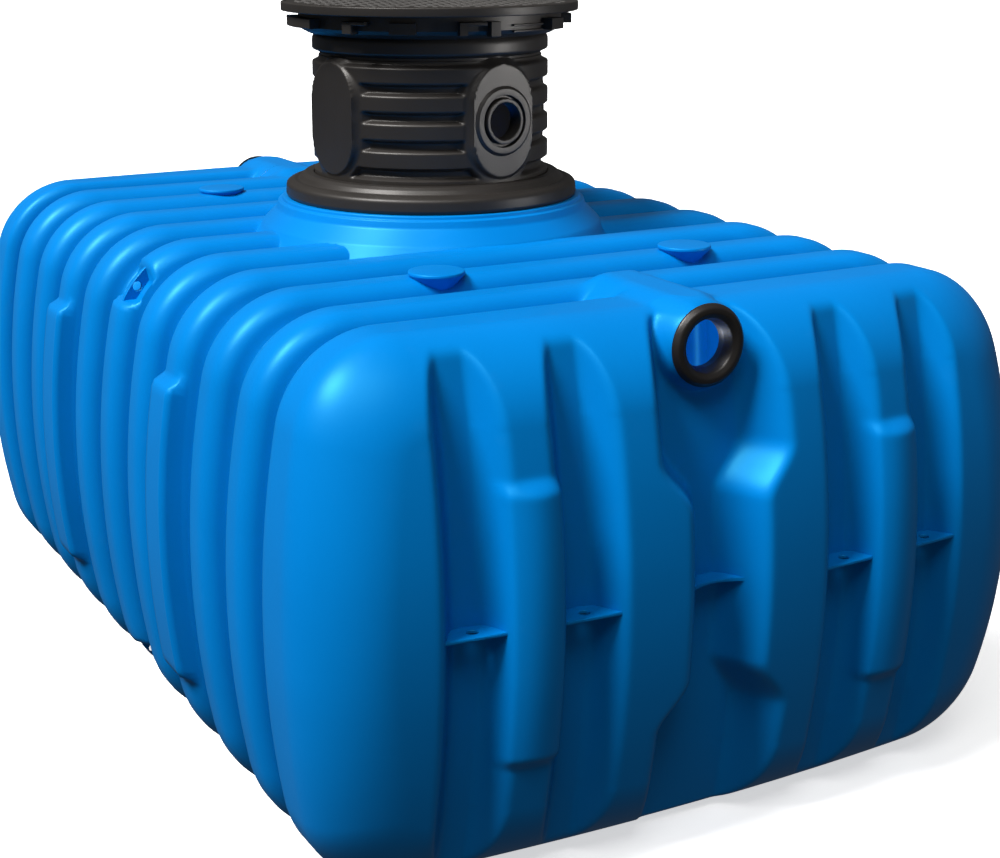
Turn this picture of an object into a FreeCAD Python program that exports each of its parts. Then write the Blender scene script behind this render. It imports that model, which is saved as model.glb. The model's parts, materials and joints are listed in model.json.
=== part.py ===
import FreeCAD
import Part
import Sketcher
import math
import os

Vector = FreeCAD.Vector
Rotation = FreeCAD.Rotation
Placement = FreeCAD.Placement

# Driving dimensions in millimetres. X runs across the tank, Y along it with the front end at -Y,
# Z up from the floor that the feet stand on. The origin is under the middle of the tank.
SIZES = {
    # barrel of the tank, measured over the crests of its ribs
    "barrel_half_width": 1000.0,
    "barrel_height": 1264.0,
    "corner_radius": 245.0,
    "wall_bow_radius": 2200.0,
    "shell_thickness": 10.0,
    # ribs that run round the barrel
    "rib_count": 9,
    "rib_pitch": 245.0,
    "rib_depth": 42.0,
    "rib_crest_width": 173.0,
    # cushion-shaped ends with upright grooves and a waisted recess
    "end_depth": 415.0,
    "end_rounding": 270.0,
    "end_inner_bevel": 165.0,
    "end_bow_up": 1850.0,
    "end_bow_across": 6000.0,
    "rim_setback": 35.0,
    "groove_inner_offset": 360.0,
    "groove_outer_offset": 627.0,
    "groove_mouth": 204.0,
    "groove_floor": 64.0,
    "groove_depth": 100.0,
    "recess_depth": 125.0,
    "recess_neck_half": 72.0,
    "recess_waist_half": 157.0,
    "recess_mouth_half": 162.0,
    "recess_neck_reach": 205.0,
    "recess_waist_reach": 315.0,
    "face_pad_width": 160.0,
    "face_pad_height": 660.0,
    "face_pad_rise": 16.0,
    "face_pad_slope": 16.0,
    "tie_plate_thickness": 8.0,
    "tie_plate_setback": 28.0,
    "tie_hole_setback": 54.0,
    "tie_hole_radius": 13.0,
    "neck_plate_setback": 62.0,
    # pipe seals in the ends and in the riser
    "port_drop": 82.0,
    "port_boss_wall": 24.0,
    "port_boss_tail": 20.0,
    "seal_hole_radius": 80.0,
    "seal_flange_radius": 97.0,
    "seal_flange_thickness": 10.0,
    "seal_bore_radius": 55.0,
    "seal_sleeve_length": 36.0,
    # flat-topped bosses on the roof, and the same as feet under the floor
    "foot_rise": 14.0,
    "foot_offset_across": 365.0,
    "foot_offset_along": 760.0,
    "foot_top_radius": 72.0,
    "foot_base_radius": 96.0,
    # bridges over the first valley at each end
    "bridge_rise": 12.0,
    "bridge_half_width": 105.0,
    "bridge_half_length": 140.0,
    "bridge_slope": 40.0,
    # raised pads on two ribs of each side wall
    "wall_pad_rise": 16.0,
    "wall_pad_length": 738.0,
    "wall_pad_ribs_apart": 4,
    "wall_pad_edge": 14.0,
    # lifting eyes in notches at the corners of the middle rib
    "eye_notch_angle": 48.0,
    "eye_notch_low": 14.0,
    "eye_notch_width": 170.0,
    "eye_web_thickness": 14.0,
    "eye_hole_radius": 13.0,
    # access opening and the raised neck round it
    "access_radius": 300.0,
    "neck_margin": 13.0,
    "neck_flare": 75.0,
    "neck_rise": 76.0,
    # riser with its collar
    "collar_flange": 45.0,
    "collar_height": 48.0,
    "collar_edge": 12.0,
    "socket_wall": 35.0,
    "socket_height": 20.0,
    "socket_clearance": 2.0,
    "shaft_ledge": 14.0,
    "shaft_wall": 21.0,
    "shaft_height": 415.0,
    "shaft_turn": 9.5,
    "bead_count": 5,
    "bead_pitch": 76.0,
    "bead_first": 48.0,
    "bead_valley_width": 22.0,
    "bead_valley_depth": 11.0,
    "shaft_pad_width": 200.0,
    "shaft_pad_height": 308.0,
    "shaft_pad_level": 188.0,
    "shaft_pad_rise": 3.0,
    "shaft_pad_corner": 55.0,
    # lid frame and lid
    "frame_step": 37.0,
    "frame_wall": 12.0,
    "frame_height": 73.0,
    "lid_overhang": 48.0,
    "lid_plate_thickness": 14.0,
    "lid_rim_hang": 20.0,
    "lid_rim_thickness": 9.0,
}

# Values that follow from the driving dimensions: the centres and sweeps of the tangent arcs
# of the barrel's outline, the levels of pieces that stand on each other, and the radii of the
# rings that fit round the access opening.
WORKED_OUT = {
    "half_height": "barrel_height / 2",
    "middle_height": "foot_rise + half_height",
    "crest_height": "middle_height + half_height",
    "inner_inset": "rib_depth + shell_thickness",
    "wall_axis": "barrel_half_width - wall_bow_radius",
    "corner_up": "half_height - corner_radius",
    "corner_across": "wall_axis + sqrt((wall_bow_radius - corner_radius) ^ 2 - corner_up ^ 2)",
    "wall_half_angle": "asin(corner_up / (wall_bow_radius - corner_radius)) / 1 deg",
    "corner_sweep": "90 - wall_half_angle",
    "barrel_half_length": "rib_count * rib_pitch / 2",
    "half_length": "barrel_half_length + end_depth",
    "recess_floor": "half_length - recess_depth",
    "rim_edge": "recess_floor - rim_setback",
    "port_level": "crest_height - port_drop",
    "collar_base": "crest_height + neck_rise",
    "shaft_base": "collar_base + collar_height",
    "frame_base": "shaft_base + shaft_height",
    "lid_seat": "frame_base + frame_height",
    "wall_pad_sweep": "2 * asin(wall_pad_length / 2 / wall_bow_radius) / 1 deg",
    "shaft_bore_radius": "access_radius + shaft_ledge",
    "shaft_radius": "shaft_bore_radius + shaft_wall",
    "shaft_pad_reach": "shaft_radius + shaft_pad_rise",
    "socket_bore_radius": "shaft_radius + socket_clearance",
    "socket_radius": "socket_bore_radius + socket_wall",
    "collar_radius": "socket_radius + collar_flange",
    "neck_rim_radius": "collar_radius + neck_margin",
    "neck_skirt_radius": "neck_rim_radius + neck_flare",
    "frame_radius": "shaft_radius + frame_step",
    "lid_radius": "frame_radius + lid_overhang",
}

doc = FreeCAD.newDocument("underground_cistern")
sheet = doc.addObject("Spreadsheet::Sheet", "sizes")
for row, (name, value) in enumerate(SIZES.items(), start=1):
    sheet.set(f"A{row}", name)
    sheet.set(f"B{row}", str(value))
    sheet.setAlias(f"B{row}", name)
for row, (name, formula) in enumerate(WORKED_OUT.items(), start=1):
    sheet.set(f"C{row}", name)
    sheet.set(f"D{row}", "=" + formula)
    sheet.setAlias(f"D{row}", name)
doc.recompute()

NAMES = set(SIZES) | set(WORKED_OUT)


def bound(text):
    """Writes a formula of size names as an expression on the sheet."""
    pieces = []
    word = ""
    for letter in text + " ":
        if letter.isalnum() or letter == "_":
            word += letter
            continue
        pieces.append("sizes." + word if word in NAMES else word)
        pieces.append(letter)
        word = ""
    return "".join(pieces).strip()


def number(text):
    """Present value of a formula of size names."""
    return float(sheet.evalExpression(text))


def bind(thing, **formulas):
    """Ties properties of an object to formulas of size names."""
    for prop, formula in formulas.items():
        thing.setExpression(prop, bound(formula))


def place(thing, x="0", y="0", z="0", axis=None, angle="0"):
    """Puts an object at formulas of size names, turned about an axis by a formula in degrees."""
    if axis:
        thing.Placement = Placement(Vector(0, 0, 0), Rotation(axis, number(angle)))
        thing.setExpression("Placement.Rotation.Angle", bound(f"({angle}) * 1 deg"))
    for key, formula in (("x", x), ("y", y), ("z", z)):
        thing.setExpression("Placement.Base." + key, bound(formula))
    return thing


def new_body(label):
    body = doc.addObject("PartDesign::Body", label)
    body.Label = label
    return body


def origin_item(body, role):
    """Origin plane or axis of a body."""
    return next(item for item in body.Origin.OriginFeatures if item.Role == role)


def new_sketch(body, name, plane):
    """Empty sketch on one of a body's own origin planes."""
    sketch = body.newObject("Sketcher::SketchObject", name)
    sketch.AttachmentSupport = [(origin_item(body, plane), "")]
    sketch.MapMode = "FlatFace"
    return sketch


def measure(sketch, constraint, formula):
    """Adds a dimension to a sketch and ties it to a formula."""
    index = sketch.addConstraint(constraint)
    sketch.setExpression(f"Constraints[{index}]", bound(formula))


def pin(sketch, geometry, point, x, y):
    """Holds a point of a sketch at formulas measured from the sketch's origin."""
    measure(sketch, Sketcher.Constraint("DistanceX", -1, 1, geometry, point, number(x)), x)
    measure(sketch, Sketcher.Constraint("DistanceY", -1, 1, geometry, point, number(y)), y)


def outline(body, name, plane, points):
    """Closed sketch of straight lines through points given as formulas."""
    sketch = new_sketch(body, name, plane)
    spots = [Vector(number(x), number(y), 0) for x, y in points]
    for index, spot in enumerate(spots):
        sketch.addGeometry(Part.LineSegment(spot, spots[(index + 1) % len(spots)]))
    for index in range(len(spots)):
        following = (index + 1) % len(spots)
        sketch.addConstraint(Sketcher.Constraint("Coincident", index, 2, following, 1))
    for index, (x, y) in enumerate(points):
        pin(sketch, index, 1, x, y)
    return sketch


def circle(body, name, plane, y, radius):
    """Sketch of one circle on the vertical axis of its plane."""
    sketch = new_sketch(body, name, plane)
    sketch.addGeometry(Part.Circle(Vector(0, number(y), 0), Vector(0, 0, 1), number(radius)))
    pin(sketch, 0, 3, "0", y)
    measure(sketch, Sketcher.Constraint("Radius", 0, number(radius)), radius)
    return sketch


def turned(body, sketch, axis, angle="360", middle=False):
    """Turns a sketch about an axis of its body."""
    turn = body.newObject("PartDesign::Revolution", sketch.Name + "_turn")
    turn.Profile = sketch
    turn.ReferenceAxis = (origin_item(body, axis), [""])
    turn.Midplane = middle
    bind(turn, Angle=angle)
    doc.recompute()
    return turn


def extruded(body, sketch, length, **settings):
    """Pads a sketch of a body by a formula."""
    pad = body.newObject("PartDesign::Pad", sketch.Name + "_pad")
    pad.Profile = sketch
    for prop, value in settings.items():
        setattr(pad, prop, value)
    bind(pad, Length=length)
    doc.recompute()
    return pad


def row_of(body, feature, length, count):
    """Repeats a feature along the Y axis of its body."""
    row = body.newObject("PartDesign::LinearPattern", feature.Name + "_row")
    row.Originals = [feature]
    row.Direction = (origin_item(body, "Y_Axis"), [""])
    bind(row, Length=length, Occurrences=count)
    body.Tip = row
    return row


def round_body(label, points):
    """Body turned about its own Z axis from an outline of (radius, height) formulas."""
    body = new_body(label)
    turned(body, outline(body, label + "_outline", "XZ_Plane", points), "Z_Axis")
    return body


def primitive(kind, label, **formulas):
    """Part primitive whose sizes are tied to formulas."""
    thing = doc.addObject("Part::" + kind, label)
    thing.Label = label
    bind(thing, **formulas)
    return thing


def box(label, x, y, z):
    """Box between pairs of formulas along X, Y and Z."""
    spans = [f"({high}) - ({low})" for low, high in (x, y, z)]
    block = primitive("Box", label, Length=spans[0], Width=spans[1], Height=spans[2])
    return place(block, x[0], y[0], z[0])


def frustum(label, half_width, half_height, rise, slope):
    """Low pad with sloping sides that rises along its own Y axis."""
    top_width = f"{half_width} - ({slope})"
    top_height = f"{half_height} - ({slope})"
    return primitive("Wedge", label, Ymin="0", Ymax=rise,
                     Xmin=f"-({half_width})", Xmax=half_width, X2min=f"-({top_width})", X2max=top_width,
                     Zmin=f"-({half_height})", Zmax=half_height, Z2min=f"-({top_height})", Z2max=top_height)


def boolean(kind, label, base, tool):
    """Part::Cut or Part::Common of two shapes."""
    result = doc.addObject("Part::" + kind, label)
    result.Label = label
    result.Base = base
    result.Tool = tool
    return result


def gathered(kind, label, shapes):
    """Part::MultiFuse of shapes, or a Part::Compound of like pieces that do not touch."""
    result = doc.addObject("Part::" + kind, label)
    result.Label = label
    setattr(result, "Links" if kind == "Compound" else "Shapes", shapes)
    return result


ACROSS = Vector(1, 0, 0)
ALONG = Vector(0, 1, 0)
UP = Vector(0, 0, 1)


def mirrored(label, source, normal):
    """Copy of a piece on the other side of one of the tank's middle planes."""
    result = doc.addObject("Part::Mirroring", label)
    result.Label = label
    result.Source = source
    result.Normal = normal
    if normal == UP:
        result.setExpression("Base.z", bound("middle_height"))
    return result


# Ribbed shell of the barrel. Each strip repeats one rib outline, given as (rise, along), whose back
# is the smooth inside of the tank.
RIB = [
    ("-rib_depth", "-rib_pitch / 2"),
    ("0", "-rib_crest_width / 2"),
    ("0", "rib_crest_width / 2"),
    ("-rib_depth", "rib_pitch / 2"),
    ("-inner_inset", "rib_pitch / 2"),
    ("-inner_inset", "-rib_pitch / 2"),
]
ROW_START = "-(rib_count - 1) * rib_pitch / 2"
ROW_LENGTH = "(rib_count - 1) * rib_pitch"


def curved_strip(label, radius, sweep):
    """Row of ribs turned about the local Y axis, to both sides of the local X axis."""
    body = new_body(label)
    points = [(f"({radius}) + ({rise})", along) for rise, along in RIB]
    turn = turned(body, outline(body, label + "_rib", "XY_Plane", points), "Y_Axis", sweep, True)
    row_of(body, turn, ROW_LENGTH, "rib_count")
    return body


def flat_strip(label):
    """Row of straight ribs across the tank, with their crests at the local origin."""
    body = new_body(label)
    points = [(along, rise) for rise, along in RIB]
    sketch = outline(body, label + "_rib", "YZ_Plane", points)
    pad = extruded(body, sketch, "2 * corner_across", Midplane=True)
    row_of(body, pad, ROW_LENGTH, "rib_count")
    return body


TURN_AXIS = Vector(0, -1, 0)
right_wall = curved_strip("right_wall", "wall_bow_radius", "2 * wall_half_angle")
place(right_wall, "wall_axis", ROW_START, "middle_height")
left_wall = mirrored("left_wall", right_wall, ACROSS)
roof_blank = place(flat_strip("roof_blank"), y=ROW_START, z="crest_height")
tank_floor = mirrored("tank_floor", roof_blank, UP)

# Opening in the roof for the skirt of the access neck
neck_cutter = primitive("Cylinder", "neck_cutter", Radius="neck_skirt_radius", Height="half_height")
place(neck_cutter, z="middle_height")
tank_roof = boolean("Cut", "tank_roof", roof_blank, neck_cutter)

# Corners of the barrel, notched on the middle rib down to the valleys for a lifting eye
CORNER_PLACE = ("corner_across", "middle_height + corner_up")
corner_blank = curved_strip("corner_blank", "corner_radius", "corner_sweep")
place(corner_blank, CORNER_PLACE[0], ROW_START, CORNER_PLACE[1], TURN_AXIS,
      "wall_half_angle + corner_sweep / 2")


def corner_sector(label, low, high, half_width):
    """Part of a ring about the corner's axis between two radii, as long as the eye's notch."""
    body = new_body(label)
    points = [(low, f"-({half_width})"), (high, f"-({half_width})"), (high, half_width), (low, half_width)]
    turned(body, outline(body, label + "_outline", "XY_Plane", points), "Y_Axis", "eye_notch_angle", True)
    return place(body, CORNER_PLACE[0], "0", CORNER_PLACE[1], TURN_AXIS,
                 "eye_notch_low + eye_notch_angle / 2")


VALLEY_RADIUS = "corner_radius - rib_depth"
eye_notch = corner_sector("eye_notch", VALLEY_RADIUS, "corner_radius + shell_thickness", "eye_notch_width / 2")
upper_right_corner = boolean("Cut", "upper_right_corner", corner_blank, eye_notch)
upper_left_corner = mirrored("upper_left_corner", upper_right_corner, ACROSS)
lower_right_corner = mirrored("lower_right_corner", upper_right_corner, UP)
lower_left_corner = mirrored("lower_left_corner", upper_left_corner, UP)

eye_sector = corner_sector("eye_sector", VALLEY_RADIUS, "corner_radius", "eye_web_thickness / 2")
EYE_RADIUS = "(corner_radius - rib_depth / 2)"
EYE_ANGLE = "(eye_notch_low + eye_notch_angle / 2)"
eye_hole = primitive("Cylinder", "eye_hole", Radius="eye_hole_radius", Height="eye_notch_width")
place(eye_hole, f"corner_across + {EYE_RADIUS} * cos({EYE_ANGLE} * 1 deg)", "eye_notch_width / 2",
      f"middle_height + corner_up + {EYE_RADIUS} * sin({EYE_ANGLE} * 1 deg)", ACROSS, "90")
upper_right_eye = boolean("Cut", "upper_right_eye", eye_sector, eye_hole)
lower_right_eye = mirrored("lower_right_eye", upper_right_eye, UP)
right_lifting_eyes = gathered("Compound", "right_lifting_eyes", [upper_right_eye, lower_right_eye])
left_lifting_eyes = mirrored("left_lifting_eyes", right_lifting_eyes, ACROSS)


# Ends: a rounded cushion with upright grooves and a waisted recess, hollow inside, as a rim and a face
def barrel_outline(body, name, inset):
    """Outline of the barrel from two flats and six tangent arcs, drawn in by an inset."""
    sketch = new_sketch(body, name, "XZ_Plane")
    across = number("corner_across")
    up = number("corner_up")
    axis = number("wall_axis")
    wall_radius = number(f"wall_bow_radius - ({inset})")
    corner_radius = number(f"corner_radius - ({inset})")
    top = up + corner_radius
    lean = math.radians(number("wall_half_angle"))
    turn = math.pi / 2

    def arc(x, y, radius, start, stop):
        sketch.addGeometry(Part.ArcOfCircle(Part.Circle(Vector(x, y, 0), UP, radius), start, stop))

    arc(axis, 0, wall_radius, -lean, lean)
    arc(across, up, corner_radius, lean, turn)
    sketch.addGeometry(Part.LineSegment(Vector(across, top, 0), Vector(-across, top, 0)))
    arc(-across, up, corner_radius, turn, 2 * turn - lean)
    arc(-axis, 0, wall_radius, 2 * turn - lean, 2 * turn + lean)
    arc(-across, -up, corner_radius, 2 * turn + lean, 3 * turn)
    sketch.addGeometry(Part.LineSegment(Vector(-across, -top, 0), Vector(across, -top, 0)))
    arc(across, -up, corner_radius, 3 * turn, 4 * turn - lean)
    walls = (0, 4)
    corners = (1, 3, 5, 7)
    for index in range(8):
        sketch.addConstraint(Sketcher.Constraint("Tangent", index, 2, (index + 1) % 8, 1))
    pin(sketch, walls[0], 3, "wall_axis", "0")
    pin(sketch, walls[1], 3, "-wall_axis", "0")
    for index in walls:
        formula = f"wall_bow_radius - ({inset})"
        measure(sketch, Sketcher.Constraint("Radius", index, number(formula)), formula)
    for index in corners:
        formula = f"corner_radius - ({inset})"
        measure(sketch, Sketcher.Constraint("Radius", index, number(formula)), formula)
    for index, sign in ((1, ""), (5, "-")):
        formula = f"{sign}corner_up"
        measure(sketch, Sketcher.Constraint("DistanceY", -1, 1, index, 3, number(formula)), formula)
    return sketch


def edges_across(shape, low, high):
    """Names of the edges that lie in planes across the tank between two places along it."""
    names = []
    for index, edge in enumerate(shape.Edges, start=1):
        bounds = edge.BoundBox
        if bounds.YLength < 1 and low < bounds.Center.y < high:
            names.append(f"Edge{index}")
    return names


def bevel(body, base, edges, size):
    """Bevels edges of the latest feature of a body."""
    feature = body.newObject("PartDesign::Chamfer", base.Name + "_bevel")
    feature.Base = (base, edges)
    bind(feature, Size=size)
    doc.recompute()
    body.Tip = feature
    return feature


# Shares of a radius at which flat bevels touch the round that they follow in steps of 22.5 degrees
EIGHTH_BEVEL = str(2 - math.sqrt(2))
SIXTEENTH_BEVEL = str(math.tan(math.pi / 8) - math.tan(math.pi / 16))

front_form = new_body("front_form")
form_pad = extruded(front_form, barrel_outline(front_form, "front_outline", "0"), "end_depth")
depth = number("end_depth")
form_flank = bevel(front_form, form_pad, edges_across(form_pad.Shape, -1, 1), "rib_depth")
form_round = bevel(front_form, form_flank, edges_across(form_flank.Shape, -depth - 1, -depth + 1),
                   f"{EIGHTH_BEVEL} * end_rounding")
bevel(front_form, form_round, edges_across(form_round.Shape, -depth - 1, -number("2 * rib_depth")),
      f"{SIXTEENTH_BEVEL} * end_rounding")
place(front_form, y="-barrel_half_length", z="middle_height")

front_cavity = new_body("front_cavity")
cavity_pad = extruded(front_cavity, barrel_outline(front_cavity, "cavity_outline", "inner_inset"),
                      "end_depth - shell_thickness")
bevel(front_cavity, cavity_pad, edges_across(cavity_pad.Shape, -depth, -depth / 2), "end_inner_bevel")
place(front_cavity, y="-barrel_half_length", z="middle_height")

FACE = "-half_length"


def bowed(label, source, grow):
    """Rounds the face of an end with two wide barrels, one about X and one about Z, that touch it at its middle."""
    up = primitive("Cylinder", label + "_bow_up", Radius=f"end_bow_up + ({grow})", Height="4 * barrel_half_width")
    place(up, "-2 * barrel_half_width", "end_bow_up - half_length", "middle_height", ALONG, "90")
    across = primitive("Cylinder", label + "_bow_across", Radius=f"end_bow_across + ({grow})",
                       Height="2 * barrel_height")
    place(across, y="end_bow_across - half_length", z="-barrel_height / 2")
    return boolean("Common", label, boolean("Common", label + "_half", source, up), across)


front_cushion = bowed("front_cushion", front_form, "0")
front_room = bowed("front_room", front_cavity, "-shell_thickness")
GROOVES = {
    "outer_left": "-groove_outer_offset",
    "inner_left": "-groove_inner_offset",
    "inner_right": "groove_inner_offset",
    "outer_right": "groove_outer_offset",
}


def groove_form(label, centre, grow):
    """Upright groove in the face that narrows inwards, grown by a wall where it shapes the inside."""
    wedge = primitive("Wedge", label, Ymin="0", Ymax=f"groove_depth + ({grow})",
                      Xmin=f"-groove_mouth / 2 - ({grow})", Xmax=f"groove_mouth / 2 + ({grow})",
                      X2min=f"-groove_floor / 2 - ({grow})", X2max=f"groove_floor / 2 + ({grow})",
                      Zmin="0", Zmax="crest_height", Z2min="0", Z2max="crest_height")
    return place(wedge, centre, FACE)


def recess_form(label, grow):
    """Hourglass recess: wide at the top and bottom, with a narrow neck at mid height."""
    body = new_body(label)
    half = [
        ("recess_mouth_half", "half_height"),
        ("recess_waist_half", "recess_waist_reach"),
        ("recess_neck_half", "recess_neck_reach"),
        ("recess_neck_half", "-recess_neck_reach"),
        ("recess_waist_half", "-recess_waist_reach"),
        ("recess_mouth_half", "-half_height"),
    ]
    right = [(f"{x} + ({grow})", z) for x, z in half]
    left = [(f"-({x})", z) for x, z in right[::-1]]
    extruded(body, outline(body, label + "_outline", "XZ_Plane", right + left),
             f"recess_depth + ({grow})", Reversed=True)
    return place(body, y=FACE, z="middle_height")


def port_cylinder(label, radius, length):
    """Cylinder about the port's axis from the floor of the recess inwards."""
    cylinder = primitive("Cylinder", label, Radius=radius, Height=length)
    return place(cylinder, y="-recess_floor", z="port_level", axis=ACROSS, angle="-90")


grooves = [groove_form("groove_" + side, centre, "0") for side, centre in GROOVES.items()]
liners = [groove_form("liner_" + side, centre, "shell_thickness") for side, centre in GROOVES.items()]
recess = recess_form("recess", "0")
carved = boolean("Cut", "front_carved", front_cushion, gathered("MultiFuse", "front_carving", grooves + [recess]))
lining = gathered("MultiFuse", "front_lining", liners + [recess_form("recess_liner", "shell_thickness")])
hollow = boolean("Cut", "front_hollow", front_room, lining)
port_boss = port_cylinder("port_boss", "seal_hole_radius + port_boss_wall", "recess_depth + port_boss_tail")
bossed = gathered("MultiFuse", "front_bossed", [carved, port_boss])
front_blank = boolean("Cut", "front_blank", bossed, hollow)
port_hole = port_cylinder("port_hole", "seal_hole_radius", "recess_depth")
front_shell = boolean("Cut", "front_shell", front_blank, port_hole)
rim_zone = box("rim_zone", ("-2 * barrel_half_width", "2 * barrel_half_width"),
               ("-rim_edge", "0"), ("-barrel_height", "2 * barrel_height"))
front_rim = boolean("Common", "front_rim", front_shell, rim_zone)
back_rim = mirrored("back_rim", front_rim, ALONG)
front_end = boolean("Cut", "front_end", front_shell, rim_zone)
back_end = mirrored("back_end", front_end, ALONG)

# Raised pads on the ribs between the grooves of each end, that reach down the grooves' slopes
PAD_PLACE = "(groove_inner_offset + groove_outer_offset) / 2"
pad_blocks = {}
face_pads = []
for side, centre in (("left", "-" + PAD_PLACE), ("right", PAD_PLACE)):
    block = frustum("pad_block_" + side, "face_pad_width / 2", "face_pad_height / 2",
                    "groove_depth + face_pad_rise", "face_pad_slope")
    place(block, centre, f"{FACE} + groove_depth", "middle_height", UP, "180")
    pad_blocks[side] = block
    face_pads.append(boolean("Cut", "face_pad_" + side, block, carved))
front_face_pads = gathered("Compound", "front_face_pads", face_pads)
back_face_pads = mirrored("back_face_pads", front_face_pads, ALONG)

# Tie plates at mid height: drilled ones across the grooves and a plain one across the recess
tie_plates = []
TIE_LEVELS = ("middle_height - tie_plate_thickness / 2", "middle_height + tie_plate_thickness / 2")
for (side, centre), groove in zip(GROOVES.items(), grooves):
    slab = box("tie_slab_" + side, (f"{centre} - groove_mouth", f"{centre} + groove_mouth"),
               (f"{FACE} + tie_plate_setback", f"{FACE} + 2 * groove_depth"), TIE_LEVELS)
    blank = boolean("Common", "tie_blank_" + side, slab, groove)
    plate = boolean("Cut", "tie_fitted_" + side, blank, pad_blocks[side.split("_")[1]])
    hole = primitive("Cylinder", "tie_hole_" + side, Radius="tie_hole_radius", Height="barrel_height")
    place(hole, centre, f"{FACE} + tie_hole_setback")
    tie_plates.append(boolean("Cut", "tie_plate_" + side, plate, hole))
neck_slab = box("neck_slab", ("-recess_mouth_half", "recess_mouth_half"),
                (f"{FACE} + neck_plate_setback", f"{FACE} + 2 * recess_depth"), TIE_LEVELS)
tie_plates.append(boolean("Common", "neck_plate", neck_slab, recess))
front_tie_plates = gathered("Compound", "front_tie_plates", tie_plates)
back_tie_plates = mirrored("back_tie_plates", front_tie_plates, ALONG)

# Bosses on the roof, fitted over the ribs, and the same forms as feet under the floor
bosses = []
for side, x in (("left", "-foot_offset_across"), ("right", "foot_offset_across")):
    for end, y in (("front", "-foot_offset_along"), ("back", "foot_offset_along")):
        cone = primitive("Cone", f"boss_cone_{end}_{side}", Radius1="foot_base_radius",
                         Radius2="foot_top_radius", Height="rib_depth + foot_rise")
        place(cone, x, y, "crest_height - rib_depth")
        bosses.append(boolean("Cut", f"boss_{end}_{side}", cone, roof_blank))
roof_bosses = gathered("Compound", "roof_bosses", bosses)
floor_feet = mirrored("floor_feet", roof_bosses, UP)

# Bridges from the ends to the first ribs, those on the roof behind the bosses of the ports
bridge_blank = frustum("bridge_blank", "bridge_half_width + bridge_slope", "bridge_half_length + bridge_slope",
                       "rib_depth + bridge_rise", "bridge_slope")
place(bridge_blank, y="-barrel_half_length", z="crest_height - rib_depth", axis=ACROSS, angle="90")
bridge_seats = gathered("MultiFuse", "bridge_seats", [roof_blank, front_form])
plain_bridge = boolean("Cut", "plain_bridge", bridge_blank, bridge_seats)
front_bridge = boolean("Cut", "front_bridge", plain_bridge, port_boss)
back_bridge = mirrored("back_bridge", front_bridge, ALONG)
roof_bridges = gathered("Compound", "roof_bridges", [front_bridge, back_bridge])
front_floor_bridge = mirrored("front_floor_bridge", plain_bridge, UP)
back_floor_bridge = mirrored("back_floor_bridge", front_floor_bridge, ALONG)
floor_bridges = gathered("Compound", "floor_bridges", [front_floor_bridge, back_floor_bridge])


# Raised pads along the crests of two ribs of each wall
def wall_pad(label, along):
    body = new_body(label)
    low = "wall_bow_radius"
    high = "wall_bow_radius + wall_pad_rise"
    wide = "rib_crest_width / 2"
    narrow = "(rib_crest_width / 2 - wall_pad_edge)"
    points = [(low, f"-{wide}"), (high, f"-{narrow}"), (high, narrow), (low, wide)]
    sketch = outline(body, label + "_outline", "XY_Plane", points)
    turned(body, sketch, "Y_Axis", "wall_pad_sweep", True)
    return place(body, "wall_axis", along, "middle_height")


WALL_PAD_PLACE = "wall_pad_ribs_apart * rib_pitch / 2"
right_wall_pads = gathered("Compound", "right_wall_pads", [wall_pad("wall_pad_front", "-" + WALL_PAD_PLACE),
                                                         wall_pad("wall_pad_back", WALL_PAD_PLACE)])
left_wall_pads = mirrored("left_wall_pads", right_wall_pads, ACROSS)

# Access neck: a skirt in the roof's opening, a sloping shoulder and a flat rim for the collar
NECK_BOTTOM = "crest_height - inner_inset"
access_neck = round_body("access_neck", [
    ("neck_skirt_radius", NECK_BOTTOM),
    ("neck_skirt_radius", "crest_height"),
    ("neck_rim_radius", "collar_base"),
    ("access_radius", "collar_base"),
    ("access_radius", "collar_base - shell_thickness"),
    ("neck_rim_radius - shell_thickness", "collar_base - shell_thickness"),
    ("neck_rim_radius - shell_thickness", NECK_BOTTOM),
])

# Collar: a flange on the neck with a socket that takes the foot of the shaft
riser_collar = round_body("riser_collar", [
    ("shaft_bore_radius", "collar_base"),
    ("collar_radius", "collar_base"),
    ("collar_radius", "shaft_base - collar_edge"),
    ("collar_radius - collar_edge", "shaft_base"),
    ("socket_radius", "shaft_base"),
    ("socket_radius", "shaft_base + socket_height"),
    ("socket_bore_radius", "shaft_base + socket_height"),
    ("socket_bore_radius", "shaft_base"),
    ("shaft_bore_radius", "shaft_base"),
])


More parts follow.
